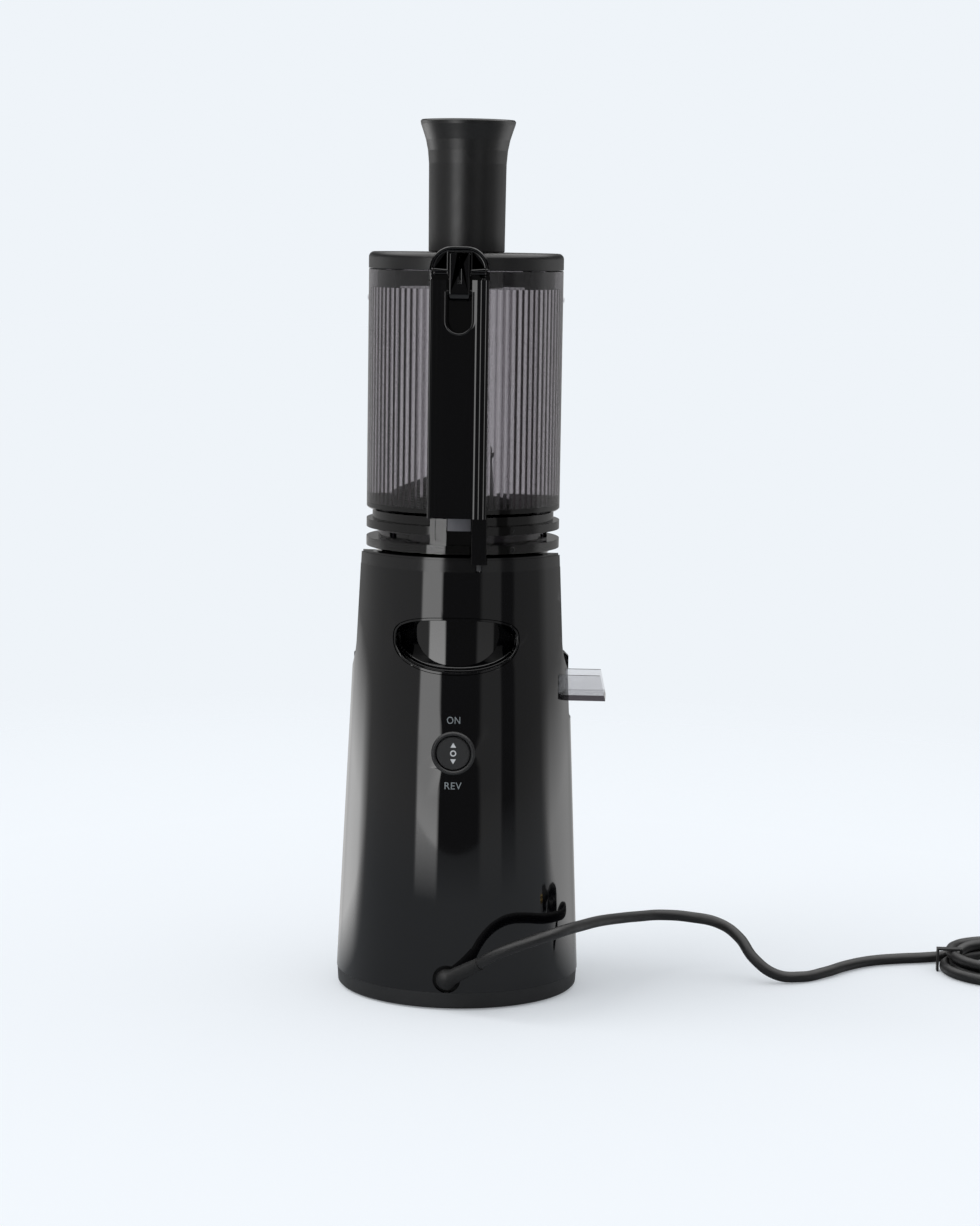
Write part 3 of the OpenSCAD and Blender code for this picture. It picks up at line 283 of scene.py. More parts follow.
@dataclass(frozen=True)
class Smoke:
    """Clear plastic that is tinted in its depth, so that thick places look darker.

    Attributes:
        name: its name.
        tint: what a long way through the plastic lets through.
        density: how fast it takes light, to a metre.
        rough: roughness.
        ribs: number of upright ribs round the axis, or none.
        rib_span: heights between which they stand.
        rib_shade: painted shade for the sharp valley between two ribs: what it lets through.
        valley_edge: cosine of the rib's own angle at which a valley begins.
        band_shade: painted shade for the plain bands below and above the ribs: what they let
            through.
        haze: what the dullest places let through where there are no ribs.
    """

    name: str
    tint: Colour
    density: float
    rough: float = 0.015
    ribs: int = 0
    rib_span: tuple[float, float] = (0.3082, 0.4416)
    rib_shade: Colour = (0.46, 0.44, 0.46)
    valley_edge: float = 0.62
    band_shade: tuple[float, float] = (0.06, 0.5)
    haze: Colour = (0.94, 0.94, 0.94)

    def valleys(self, graph: Graph) -> bpy.types.NodeSocket:
        """Paint shade into the valleys between the ribs, which send light aside, and into the plain
        bands below and above them.

        Args:
            graph: the material's nodes.

        Returns:
            The surface's colour, with that painted shade.
        """
        x, y, z = graph.add("ShaderNodeSeparateXYZ", in_0=graph.place()).outputs
        turn = graph.math("MULTIPLY", graph.math("ARCTAN2", y, x), float(self.ribs))
        # painted shade: a dark line along each valley between the ribs
        valley = graph.spread(
            graph.math("COSINE", turn), 0.0, 1.0, start=self.valley_edge, end=1.0
        )
        low, high = self.rib_span
        below, above = graph.math("LESS_THAN", z, low), graph.math("GREATER_THAN", z, high)
        inside = graph.math("SUBTRACT", graph.math("SUBTRACT", 1.0, below), above)
        shaded_stripes = graph.ramp(
            graph.math("MULTIPLY", valley, inside), [(0, WHITE), (1, self.rib_shade)]
        )
        # painted shade: the plain bands below and above the ribs are darkened
        dark, light = self.band_shade
        under = graph.ramp(below, [(0, WHITE), (1, (dark, dark, dark))])
        over = graph.ramp(above, [(0, WHITE), (1, (light, light, light))])
        for band in (under, over):
            shaded_stripes = graph.blend("MULTIPLY", shaded_stripes, band)
        return shaded_stripes

    def build(self, title: str) -> bpy.types.Material:
        """Make the material.

        Args:
            title: its full name.

        Returns:
            The material.
        """
        material, graph = new_material(title)
        if self.ribs:
            colour = self.valleys(graph)
        else:
            colour = graph.ramp(graph.noise(40.0), [(0.3, self.haze), (0.7, WHITE)])
        shader = graph.add(
            "ShaderNodeBsdfPrincipled",
            in_Base_Color=colour,
            in_Roughness=graph.spread(graph.noise(90.0), self.rough, self.rough * 2),
            in_IOR=1.5,
            in_Transmission_Weight=1.0,
        )
        depth = graph.add(
            "ShaderNodeVolumeAbsorption", in_Color=(*self.tint, 1), in_Density=self.density
        )
        graph.add(
            "ShaderNodeOutputMaterial", in_Surface=shader.outputs[0], in_Volume=depth.outputs[0]
        )
        return material


FINE, COARSE = 2600, 900
GLOSS_BLACK = Finish("gloss_black", (0.0010, 0.0010, 0.0014), (0.03, 0.05), mottle_scale=25)
COLLAR_BLACK = Finish("satin_black", (0.004, 0.004, 0.0043), (0.11, 0.15), mottle=0.08)
BASE_BLACK = Finish(
    "base_black", (0.008, 0.008, 0.0084), (0.40, 0.48), grain_mm=0.008, grain_scale=FINE
)
LID_BLACK = Finish(
    "lid_black", (0.0045, 0.0045, 0.0048), (0.34, 0.40), grain_mm=0.006, grain_scale=FINE
)
INNER_BLACK = Finish("inner_black", (0.012, 0.012, 0.0125), (0.4, 0.5), grain_mm=0.01)
FOOT_RUBBER = Finish("foot_rubber", (0.02, 0.02, 0.02), (0.7, 0.85), grain_mm=0.03)
SWITCH_BLACK = Finish(
    "switch_black", (0.008, 0.008, 0.0085), (0.42, 0.5), grain_mm=0.008, grain_scale=FINE
)
BOARD_GREEN = Finish("board_green", (0.03, 0.1, 0.05), (0.35, 0.5), mottle=0.3, mottle_scale=400)
MOTOR_STEEL = Finish(
    "motor_steel", (0.35, 0.36, 0.37), (0.3, 0.42), metal=1, stretch=(1, 1, 0.05), grain_mm=0.01
)
FERRITE = Finish(
    "magnet_ferrite", (0.025, 0.025, 0.027), (0.6, 0.8), grain_mm=0.03, grain_scale=COARSE
)
BRONZE = Finish("bush_bronze", (0.5, 0.34, 0.14), (0.35, 0.5), metal=1, grain_mm=0.02)
ZINC_STEEL = Finish("screw_zinc", (0.42, 0.43, 0.44), (0.28, 0.4), metal=1, grain_mm=0.01)
SIEVE_STEEL = Finish("sieve_steel", (0.12, 0.12, 0.125), (0.35, 0.5), metal=1, grain_mm=0.02)
GROUND_STEEL = Finish(
    "ground_steel", (0.55, 0.56, 0.57), (0.16, 0.26), metal=1, stretch=(1, 1, 8), grain_mm=0.004
)
CAST_ALLOY = Finish(
    "cast_alloy", (0.45, 0.46, 0.48), (0.42, 0.55), metal=1, grain_mm=0.05, grain_scale=COARSE
)
NYLON = Finish("gear_nylon", (0.62, 0.5, 0.24), (0.4, 0.5), grain_mm=0.01)
SILICONE = Finish("seal_silicone", (0.42, 0.43, 0.44), (0.5, 0.6), grain_mm=0.01)
PRESS_GREY = Finish("press_screw_grey", (0.026, 0.026, 0.029), (0.3, 0.4), grain_mm=0.01)
GLAND_BLACK = Finish("gland_black", (0.002, 0.002, 0.0022), (0.6, 0.7), grain_mm=0.01)
LEAD_BLACK = Finish("lead_black", (0.004, 0.004, 0.0044), (0.44, 0.54), grain_mm=0.012)
BRASS = Finish("pin_brass", (0.6, 0.42, 0.16), (0.16, 0.26), metal=1, grain_mm=0.004)
SIGN_WHITE = Finish("sign_white", (0.5, 0.51, 0.52), (0.45, 0.55))
WORD_GREY = Finish("word_grey", (0.17, 0.19, 0.2), (0.4, 0.5))
MARK_DARK = Finish("mark_dark", (0.004, 0.004, 0.0045), (0.4, 0.5))
FROST_GREY = Finish("frost_grey", (0.085, 0.085, 0.095), (0.3, 0.4))
SMOKE_CHAMBER = Smoke("smoke_chamber", (0.05, 0.0, 0.06), 700.0)
SMOKE_CHUTE = Smoke("smoke_chute", (0.05, 0.0, 0.03), 85.0)
SMOKE_DRUM = Smoke("smoke_drum", (0.07, 0.0, 0.03), 205.0, ribs=84)

NODES_BY_FINISH: dict[Finish | Smoke, str] = {
    GLOSS_BLACK: "motor_housing grip_cup hopper_column interlock_post lid_hinge_cover",
    COLLAR_BLACK: "top_collar spout_cap",
    BASE_BLACK: "base_cover",
    LID_BLACK: "lid pusher pusher_cap",
    INNER_BLACK: "rear_liner switch_body strainer_frame interlock_rod hinge_pin",
    FOOT_RUBBER: "rubber_feet",
    SWITCH_BLACK: "switch_bezel switch_rocker",
    BOARD_GREEN: "control_board",
    MOTOR_STEEL: "motor_can motor_end_cap motor_rotor",
    FERRITE: "motor_magnets rod_magnet",
    BRONZE: "motor_bushes shaft_bushes",
    ZINC_STEEL: "base_screws motor_screws gearbox_screws",
    SIEVE_STEEL: "strainer_mesh",
    GROUND_STEEL: "idler_axle drive_shaft cap_pin interlock_spring",
    CAST_ALLOY: "gearbox_case gearbox_cover",
    NYLON: "idler_gear output_gear",
    SILICONE: "deck_seal chamber_seal cap_seal reed_switch",
    PRESS_GREY: "auger",
    GLAND_BLACK: "cable_gland",
    LEAD_BLACK: "power_cord cord_coil cord_tail cord_tie plug_body",
    BRASS: "plug_pins",
    SMOKE_CHAMBER: "juicing_chamber chamber_floor juice_spout",
    SMOKE_CHUTE: "pulp_chute",
    SMOKE_DRUM: "hopper",
}
FINISH_OF = {node: finish for finish, nodes in NODES_BY_FINISH.items() for node in nodes.split()}


def dress(piece: bpy.types.Object, finish: Finish | Smoke) -> None:
    """Give a piece one finish all over.

    Args:
        piece: a new piece or a node of the frame.
        finish: its finish.
    """
    title = f"{finish.name}_finish"
    piece.data.materials.clear()
    piece.data.materials.append(bpy.data.materials.get(title) or finish.build(title))


# ---------------------------------------------------------------------------------------------
# Modelling
# ---------------------------------------------------------------------------------------------


def pick(piece: bpy.types.Object) -> None:
    """Select this object and nothing else, and make it active.

    Args:
        piece: the object.
    """
    bpy.ops.object.select_all(action="DESELECT")
    piece.select_set(True)
    bpy.context.view_layer.objects.active = piece


@contextmanager
def editing(piece: bpy.types.Object) -> Iterator[bmesh.types.BMesh]:
    """Open a piece in edit mode with all of it selected, and close it again.

    Args:
        piece: the mesh object.

    Yields:
        Its edit mesh.
    """
    pick(piece)
    bpy.ops.object.mode_set(mode="EDIT")
    bpy.ops.mesh.select_all(action="SELECT")
    yield bmesh.from_edit_mesh(piece.data)
    bpy.ops.object.mode_set(mode="OBJECT")


def settle(piece: bpy.types.Object, name: str, smooth_deg: float = 32.0) -> bpy.types.Object:
    """Apply a piece's place, name it, and shade it smooth up to an angle.

    Args:
        piece: the mesh object.
        name: its final name.
        smooth_deg: edges sharper than this stay crisp.

    Returns:
        The piece.
    """
    pick(piece)
    bpy.ops.object.transform_apply(location=True, rotation=True, scale=True)
    bpy.ops.object.shade_smooth_by_angle(angle=math.radians(smooth_deg))
    piece.name = piece.data.name = name
    return piece


def finish_piece(
    piece: bpy.types.Object, body: str, finish: Finish | Smoke, slot: str, *nodes: str
) -> bpy.types.Object:
    """Dress a piece, set it on its body, and let it stand for nodes of the frame.

    Args:
        piece: the finished piece.
        body: the body that it rides on.
        finish: its finish.
        slot: the record's material slot; not used.
        nodes: the nodes that it replaces.

    Returns:
        The piece.
    """
    dress(piece, finish)
    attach(piece, body)
    if nodes:
        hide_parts(*nodes)
    log.info("%s rides on %s", piece.name, body)
    return piece


# ---------------------------------------------------------------------------------------------
# Camera
# ---------------------------------------------------------------------------------------------


@dataclass
class Viewpoint:
    """The camera behind the machine.

    Attributes:
        place: where it stands.
        right: its right hand, level.
        pitch_deg: how far it looks down.
        roll_deg: how far it leans to its left.
        focal_px: focal length in pixels of a frame 980 wide.
        frame_px: that width.
        sensor_mm: width of its sensor.
    """

    place: Point = (-0.1046, 1.8381, 0.475)
    right: Point = (-0.9989, -0.0471, 0.0)
    pitch_deg: float = 7.35
    roll_deg: float = 0.86
    focal_px: float = 2937.0
    frame_px: float = 980.0
    sensor_mm: float = 36.0

    def build(self) -> bpy.types.Object:
        """Make the camera and set it as the scene's.

        Returns:
            The camera.
        """
        bpy.ops.object.select_all(action="DESELECT")
        bpy.ops.object.camera_add(location=self.place)
        camera = bpy.context.object
        camera.name = "studio_camera"
        side = Vector(self.right).normalized()
        level = Vector((0, 0, 1)).cross(side)
        pitch, roll = math.radians(self.pitch_deg), math.radians(self.roll_deg)
        ahead = level * math.cos(pitch) - Vector((0, 0, math.sin(pitch)))
        above = side.cross(ahead)
        up = above * math.cos(roll) - side * math.sin(roll)
        across = ahead.cross(up)
        turned = Matrix((across, up, -ahead)).transposed().to_4x4()
        turned.translation = self.place
        camera.matrix_world = turned
        camera.data.sensor_fit = "HORIZONTAL"
        camera.data.sensor_width = self.sensor_mm
        camera.data.lens = self.focal_px / self.frame_px * self.sensor_mm
        camera.data.clip_start, camera.data.clip_end = 0.05, 50.0
        bpy.context.scene.camera = camera
        return camera


# ---------------------------------------------------------------------------------------------
# Moulded edges
# ---------------------------------------------------------------------------------------------


@dataclass(frozen=True)
class RoundedEdge:
    """One part of the frame whose sharp edges get the small radius of a moulding.

    Attributes:
        node: the part.
        body: the body that it rides on.
        slot: its material slot in the record.
        radius: of the edges.
        steps: faces across the radius.
        sharp_deg: edges sharper than this are rounded.
        clamped: whether short edges hold the radius back.
        flat_deg: faces that meet at less than this are joined first.
    """

    node: str
    body: str
    slot: str
    radius: float
    steps: int = 3
    sharp_deg: float = 40.0
    clamped: bool = True
    flat_deg: float = 0.5

    def build(self) -> bpy.types.Object:
        """Copy the part, round its edges and let the copy stand for it.

        Returns:
            The rounded piece.
        """
        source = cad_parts[self.node]
        piece = bpy.data.objects.new(f"{self.node}_moulded", source.data.copy())
        bpy.context.scene.collection.objects.link(piece)
        pick(piece)
        if piece.data.has_custom_normals:
            bpy.ops.mesh.customdata_custom_splitnormals_clear()
        with editing(piece):
            bpy.ops.mesh.remove_doubles(threshold=2 * SAME_POINT)
            bpy.ops.mesh.dissolve_limited(angle_limit=math.radians(self.flat_deg))
        bpy.ops.object.shade_smooth_by_angle(angle=math.radians(self.sharp_deg))
        bevel = piece.modifiers.new("edge", "BEVEL")
        bevel.width = self.radius
        bevel.segments = self.steps
        bevel.limit_method = "ANGLE"
        bevel.angle_limit = math.radians(self.sharp_deg)
        bevel.harden_normals = True
        bevel.use_clamp_overlap = self.clamped
        bpy.ops.object.modifier_apply(modifier=bevel.name)
        low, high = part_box(self.node)
        for vertex in piece.data.vertices:
            vertex.co = [min(max(c, a), b) for c, a, b in zip(vertex.co, low, high)]
        piece.data.name = piece.name
        return finish_piece(piece, self.body, FINISH_OF[self.node], self.slot, self.node)


ROUNDED_EDGES = (
    RoundedEdge("lid_hinge_cover", "lid", "gloss_black", 0.0012, steps=5, clamped=False),
    RoundedEdge("interlock_post", "hopper", "gloss_black", 0.0006),
    RoundedEdge("grip_cup", "base", "gloss_black", 0.0016, steps=6, clamped=False),
    RoundedEdge("cable_gland", "base", "cord_black", 0.0004),
    RoundedEdge("switch_bezel", "base", "switch_grey", 0.0007),
    RoundedEdge("switch_rocker", "rocker", "switch_grey", 0.0008),
    RoundedEdge("spout_cap", "cap", "satin_black", 0.0006),
)


# ---------------------------------------------------------------------------------------------
# Mains lead
# ---------------------------------------------------------------------------------------------


@dataclass
class MainsLead:
    """The lead, from its strain relief over the floor to a tied coil and its plug.

    Attributes:
        diameter: of the lead.
        route_mm: points from the strain relief to where the coil begins.
        coil_centre_mm: centre of the coil.
        ring_mm: radii of the outer and the inner turns.
        layer_mm: heights of the lower and the upper turns.
        turned_deg: how far the coil goes round.
        step_deg: from one of its points to the next.
        shifts_deg: where it moves to the inner ring, to the upper layer and back out.
        shift_deg: how long each of those moves takes.
        tail_mm: points from the coil to the plug.
        slack: share by which the smooth curve is longer than its points; not used.
        plug_edge: radius of the plug's edges.
    """

    diameter: float = 0.007
    route_mm: Sequence[Point] = (
        (-19, 89, 33), (-27, 93, 39), (-38, 95, 44.5), (-50, 92.5, 48.5), (-62, 84, 51),
        (-72, 68, 51), (-80, 49, 49), (-90, 28, 47), (-102, 6, 44), (-117, -15, 41),
        (-132, -31, 38.5), (-150, -37.5, 36), (-168, -33, 33.5), (-181, -22, 27),
        (-190.5, -14, 15.5), (-204.5, -11.5, 6), (-221, -16, 3.6), (-237.5, -30, 3.6),
        (-252, -48, 3.6), (-269, -63, 3.6), (-288.5, -71.5, 3.6), (-306, -76.5, 3.6),
        (-322.5, -83.5, 3.6), (-338, -93.5, 3.6),
    )
    coil_centre_mm: tuple[float, float] = (-358.7, -57.0)
    ring_mm: tuple[float, float] = (42.0, 35.0)
    layer_mm: tuple[float, float] = (3.5, 10.5)
    turned_deg: float = 1199.56
    step_deg: float = 20.0
    shifts_deg: tuple[float, float, float] = (285, 645, 1005)
    shift_deg: float = 70.0
    tail_mm: Sequence[Point] = (
        (-400.7, -45, 10.1), (-400.7, -35, 8.4), (-400.7, -27, 8), (-400.7, -21, 8)
    )
    slack: float = 1.002
    plug_edge: float = 0.0012

    def coil_points(self) -> list[Point]:
        """Wind the coil, which moves to the next ring or layer late in each turn.

        Returns:
            Its points, without the first, which is the route's last.
        """
        cx, cy = self.coil_centre_mm
        last = self.route_mm[-1]
        start = math.atan2(last[1] - cy, last[0] - cx)
        outer, inner = self.ring_mm
        lower, upper = self.layer_mm
        steps = round(self.turned_deg / self.step_deg)
        points = []
        for i in range(1, steps + 1):
            gone = self.turned_deg * i / steps
            inward, upward, outward = (ease((gone - at) / self.shift_deg) for at in self.shifts_deg)
            radius = outer + (inner - outer) * (inward - outward)
            height = lower + (upper - lower) * upward
            angle = start - math.radians(gone)
            points.append((cx + radius * math.cos(angle), cy + radius * math.sin(angle), height))
        return points

    def build(self) -> bpy.types.Object:
        """Returns:
            The lead.
        """
        plug = RoundedEdge("plug_body", "base", "cord_black", self.plug_edge, steps=4).build()
        points = [*self.route_mm, *self.coil_points(), *self.tail_mm]
        curve = bpy.data.curves.new("mains_lead", "CURVE")
        curve.dimensions = "3D"
        curve.bevel_depth = self.diameter / 2
        curve.bevel_resolution = 6
        curve.resolution_u = 8
        curve.use_fill_caps = True
        spline = curve.splines.new("BEZIER")
        spline.bezier_points.add(len(points) - 1)
        for knot, point in zip(spline.bezier_points, points):
            knot.co = Vector(point) * MM
            knot.handle_left_type = knot.handle_right_type = "AUTO"
        lead = bpy.data.objects.new("mains_lead", curve)
        bpy.context.scene.collection.objects.link(lead)
        finish_piece(lead, "base", LEAD_BLACK, "cord_black", "power_cord", "cord_coil", "cord_tail")
        return lead


def ease(share: float) -> float:
    """Smooth step from 0 to 1, held outside.

    Args:
        share: how far along.

    Returns:
        The eased share.
    """
    held = min(max(share, 0.0), 1.0)
    return held * held * (3 - 2 * held)


# ---------------------------------------------------------------------------------------------
# Words, signs and marks
# ---------------------------------------------------------------------------------------------


def lay_on(piece: bpy.types.Object, node: str, lift: float) -> None:
    """Lay a flat piece on a part behind it, along its own depth.

    Args:
        piece: the flat mesh, which is active.
        node: the part of the frame.
        lift: how far it stands off the part.
    """
    wrap = piece.modifiers.new("wrap", "SHRINKWRAP")
    wrap.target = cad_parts[node]
    wrap.wrap_method = "PROJECT"
    wrap.use_project_z = True
    wrap.use_negative_direction = True
    wrap.use_positive_direction = False
    wrap.offset = lift
    bpy.ops.object.modifier_apply(modifier=wrap.name)


def thicken(piece: bpy.types.Object, thickness: float) -> None:
    """Give a flat piece a closed body, half of it on each side.

    Args:
        piece: the flat mesh.
        thickness: from face to face.
    """
    with editing(piece):
        bpy.ops.mesh.remove_doubles(threshold=SAME_POINT)
    thick = piece.modifiers.new("thick", "SOLIDIFY")
    thick.thickness = thickness
    thick.offset = 0.0
    bpy.ops.object.modifier_apply(modifier=thick.name)
    with editing(piece):
        bpy.ops.mesh.normals_make_consistent(inside=False)


class Way(Enum):
    """Which way an arrow head points."""

    UP = 1
    DOWN = -1


@dataclass
class SwitchMarks:
    """The printed words beside the switch and the signs on its rocker.

    Attributes:
        word_size: height of the type.
        words: each word with the height of its middle and how wide it is set.
        letter_gap: space from letter to letter, as a share of the type's own.
        print_start: how far out a word starts before it is laid on the housing.
        print_lift: how far the print stands off the housing.
        sign_depth: how far a sign stands proud.
        arrow_half: half the width of an arrow head.
        arrow_height: its height.
        arrow_offset: from the rocker's middle to the middle of an arrow.
        ring_r: outer radius of the O.
        ring_hole_r: inner radius of the O.
    """

    word_size: float = 0.0062
    words: Sequence[tuple[str, float, float]] = (("ON", 0.1798, 0.86), ("REV", 0.1394, 0.98))
    letter_gap: float = 1.08
    print_start: float = 0.09
    print_lift: float = 0.00006
    sign_depth: float = 0.0001
    arrow_half: float = 0.00175
    arrow_height: float = 0.003
    arrow_offset: float = 0.0046
    ring_r: float = 0.0019
    ring_hole_r: float = 0.0012

    def build(self) -> None:
        """Print the words and lay the signs."""
        for word, height, spread in self.words:
            self.print_word(word, height, spread)
        low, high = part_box("switch_rocker")
        centre = Vector(((low[0] + high[0]) / 2, high[1], (low[2] + high[2]) / 2))
        for way in Way:
            self.lay_arrow(centre, way)
        self.lay_ring(centre)

    def print_word(self, word: str, height: float, spread: float) -> None:
        """Set one word on the housing.

        Args:
            word: its letters.
            height: where its middle stands.
            spread: its width as a share of the type's own.
        """
        bpy.ops.object.select_all(action="DESELECT")
        bpy.ops.object.text_add(
            location=(0, self.print_start, height), rotation=(math.pi / 2, 0, math.pi)
        )
        label = bpy.context.object
        label.data.body = word
        label.data.size = self.word_size
        label.data.align_x, label.data.align_y = "CENTER", "CENTER"
        label.data.space_character = self.letter_gap
        label.scale.x = spread
        bpy.ops.object.convert(target="MESH")
        label = bpy.context.object
        lay_on(label, "motor_housing", self.print_lift)
        bpy.ops.object.transform_apply(location=True, rotation=True, scale=True)
        thicken(label, 2 * self.print_lift)
        settle(label, f"word_{word.lower()}")
        finish_piece(label, "base", WORD_GREY, "switch_white")

    def lay_arrow(self, centre: Vector, way: Way) -> None:
        """Lay one arrow head on the rocker.

        Args:
            centre: the middle of the rocker's face.
            way: which way it points.
        """
        bpy.ops.object.select_all(action="DESELECT")
        bpy.ops.mesh.primitive_circle_add(
            vertices=3,
            radius=1.0,
            fill_type="NGON",
            location=centre + Vector((0, 0, way.value * self.arrow_offset)),
            rotation=(math.pi / 2, 0, 0),
        )
        arrow = bpy.context.object
        across, tall = math.sqrt(3) / 2, 1.5
        arrow.scale = (self.arrow_half / across, way.value * self.arrow_height / tall, 1)
        self.raise_sign(arrow, f"sign_{way.name.lower()}")

    def lay_ring(self, centre: Vector) -> None:
        """Lay the O in the middle of the rocker.

        Args:
            centre: the middle of the rocker's face.
        """
        bpy.ops.object.select_all(action="DESELECT")
        bpy.ops.mesh.primitive_circle_add(
            vertices=48,
            radius=self.ring_r,
            fill_type="NGON",
            location=centre,
            rotation=(math.pi / 2, 0, 0),
        )
        ring = bpy.context.object
        with editing(ring):
            bpy.ops.mesh.inset(thickness=self.ring_r - self.ring_hole_r)
            bpy.ops.mesh.delete(type="FACE")
        self.raise_sign(ring, "sign_off")

    def raise_sign(self, sign: bpy.types.Object, name: str) -> None:
        """Give a flat sign its thickness and set it on the rocker.

        Args:
            sign: the flat mesh.
            name: its final name.
        """
        bpy.ops.object.transform_apply(location=True, rotation=True, scale=True)
        thicken(sign, 2 * self.sign_depth)
        settle(sign, name)
        finish_piece(sign, "rocker", SIGN_WHITE, "switch_white")


@dataclass
class LockMarks:
    """The moulded triangle on the drum's flange and the dot on the chamber's.

    Attributes:
        across: how far to the side they stand.
        drum_rim_r: radius of the drum's flange.
        triangle_z: height of the triangle's middle.
        dot_z: height of the dot.
        size: radius of the marks.
        depth: how far they stand proud.
    """

    across: float = -0.0335
    drum_rim_r: float = 0.0605
    triangle_z: float = 0.295
    dot_z: float = 0.2835
    size: float = 0.0016
    depth: float = 0.0003

    def build(self) -> None:
        """Mould both marks."""
        self.mould("mark_open", 3, self.triangle_z, "hopper", "hopper")
        self.mould("mark_dot", 24, self.dot_z, "chamber", "juicing_chamber")

    def mould(self, name: str, corners: int, height: float, body: str, node: str) -> None:
        """Mould one mark on the rim of a flange.

        Args:
            name: the mark's name.
            corners: corners of its outline.
            height: height of its middle.
            body: the body that it rides on.
            node: the part that carries it.
        """
        on_chamber = body == "chamber"
        rim_r = -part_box(node)[0][0] if on_chamber else self.drum_rim_r
        out = math.sqrt(rim_r**2 - self.across**2)
        bpy.ops.object.select_all(action="DESELECT")
        bpy.ops.mesh.primitive_cylinder_add(
            vertices=corners,
            radius=self.size,
            depth=2 * self.depth,
            location=(self.across, out, height),
            rotation=(math.pi / 2, math.pi, math.asin(self.across / rim_r)),
        )
        mark = bpy.context.object
        edge = mark.modifiers.new("edge", "BEVEL")
        edge.width = self.depth / 3
        bpy.ops.object.modifier_apply(modifier=edge.name)
        settle(mark, name)
        finish_piece(mark, body, MARK_DARK, "smoke_chamber" if on_chamber else "smoke_hopper")


@dataclass
class PocketLip:
    """The rounded lip round the finger-shaped pocket in the column.

    Attributes:
        half_w: from its middle line to the pocket's axis.
        face_y: depth of its middle line.
        centre_z: height where the round end of the pocket begins.
        top_z: height where its arms end.
        thick: radius of the lip.
        steps: points along the round end.
    """

    half_w: float = 0.0083
    face_y: float = 0.0719
    centre_z: float = 0.4232
    top_z: float = 0.4405
    thick: float = 0.0008
    steps: int = 24

    def build(self) -> None:
        """Bend the lip and set it on the hopper's column."""
        angles = (math.pi * (1 + i / self.steps) for i in range(self.steps + 1))
        turns = [(self.half_w * math.cos(a), self.half_w * math.sin(a)) for a in angles]
        points = [(-self.half_w, self.top_z)]
        points += [(across, self.centre_z + rise) for across, rise in turns]
        points.append((self.half_w, self.top_z))
        curve = bpy.data.curves.new("pocket_lip", "CURVE")
        curve.dimensions = "3D"
        curve.bevel_depth = self.thick
        curve.bevel_resolution = 5
        curve.use_fill_caps = True
        spline = curve.splines.new("POLY")
        spline.points.add(len(points) - 1)
        for knot, (across, height) in zip(spline.points, points):
            knot.co = (across, self.face_y, height, 1)
        lip = bpy.data.objects.new("pocket_lip", curve)
        bpy.context.scene.collection.objects.link(lip)
        pick(lip)
        bpy.ops.object.convert(target="MESH")
        lip = settle(bpy.context.object, "pocket_lip", smooth_deg=50.0)
        finish_piece(lip, "hopper", GLOSS_BLACK, "gloss_black")


@dataclass(frozen=True)
class LaidField:
    """A thin field of another finish, laid on a round part.

    Attributes:
        name: its name.
        node: the part that carries it.
        body: the body that it rides on.
        slot: its material slot in the record.
        finish: its finish.
        across: its left and right ends.
        heights: its lower and upper edges.
        start: how far out it starts before it is laid on the part.
        lift: how far it stands off.
        cuts: cuts along each side, so that it follows the round.
        flat: whether it stays flat where it starts.
    """

    name: str
    node: str
    body: str
    slot: str
    finish: Finish
    across: tuple[float, float]
    heights: tuple[float, float]
    start: float = 0.08
    lift: float = 0.00008
    cuts: int = 12
    flat: bool = False

    def build(self) -> None:
        """Lay the field on its part, or set it flat before it."""
        (left, right), (low, high) = self.across, self.heights
        bpy.ops.object.select_all(action="DESELECT")
        bpy.ops.mesh.primitive_plane_add(
            size=1,
            location=((left + right) / 2, self.start, (low + high) / 2),
            rotation=(math.pi / 2, 0, math.pi),
        )
        field = bpy.context.object
        field.scale = (right - left, high - low, 1)
        if not self.flat:
            with editing(field):
                bpy.ops.mesh.subdivide(number_cuts=self.cuts)
            lay_on(field, self.node, self.lift)
        bpy.ops.object.transform_apply(location=True, rotation=True, scale=True)
        thicken(field, 2 * self.lift)
        settle(field, self.name)
        finish_piece(field, self.body, self.finish, self.slot)


LAID_FIELDS = (
    # the frosted field beside the clear tab
    LaidField(
        "tab_window", "hopper", "hopper", "smoke_hopper", FROST_GREY,
        across=(-0.0084, 0.0058), heights=(0.2956, 0.3034),
    ),
    # painted shade: a dark sheet that stands for the dark inside of the drum's rim above the column
    LaidField(
        "rim_shade", "hopper", "hopper", "smoke_hopper", GLOSS_BLACK,
        across=(-0.0176, 0.0176), heights=(0.4466, 0.4526), start=0.061, flat=True,
    ),
)


# ---------------------------------------------------------------------------------------------
# Studio
# ---------------------------------------------------------------------------------------------


@dataclass(frozen=True)
class Upright:
    """One upright surface of the studio, as glossy parts mirror it.

    Attributes:
        name: what it is.
        span: its left and right ends, in degrees from the camera's direction, with the right of
            the picture positive. From one surface to the next the light changes evenly.
        low: its brightness in rays that go down.
        high: its brightness near eye level.
    """

    name: str
    span: tuple[float, float]
    low: float
    high: float


UPRIGHTS = (
    Upright("left part of the back wall", (-180, -175), low=0.5, high=0.3),
    Upright("pale corner", (-157, -153), low=1.2, high=0.4),
    Upright("window", (-122, -119), low=3.6, high=0.5),
    Upright("left wall", (-105, -44), low=0.6, high=0.5),
    Upright("strip light", (-42, -22), low=5.6, high=3.6),
    Upright("black curtain", (-20, 19), low=0.1, high=0.1),
    Upright("pale card", (23, 42), low=0.65, high=0.4),
    Upright("black card", (44, 57), low=0.1, high=0.1),
    Upright("right wall", (60, 91), low=0.5, high=0.3),
    Upright("soft panel", (105, 108), low=2.2, high=0.6),
    Upright("right part of the back wall", (155, 180), low=0.5, high=0.3),
)


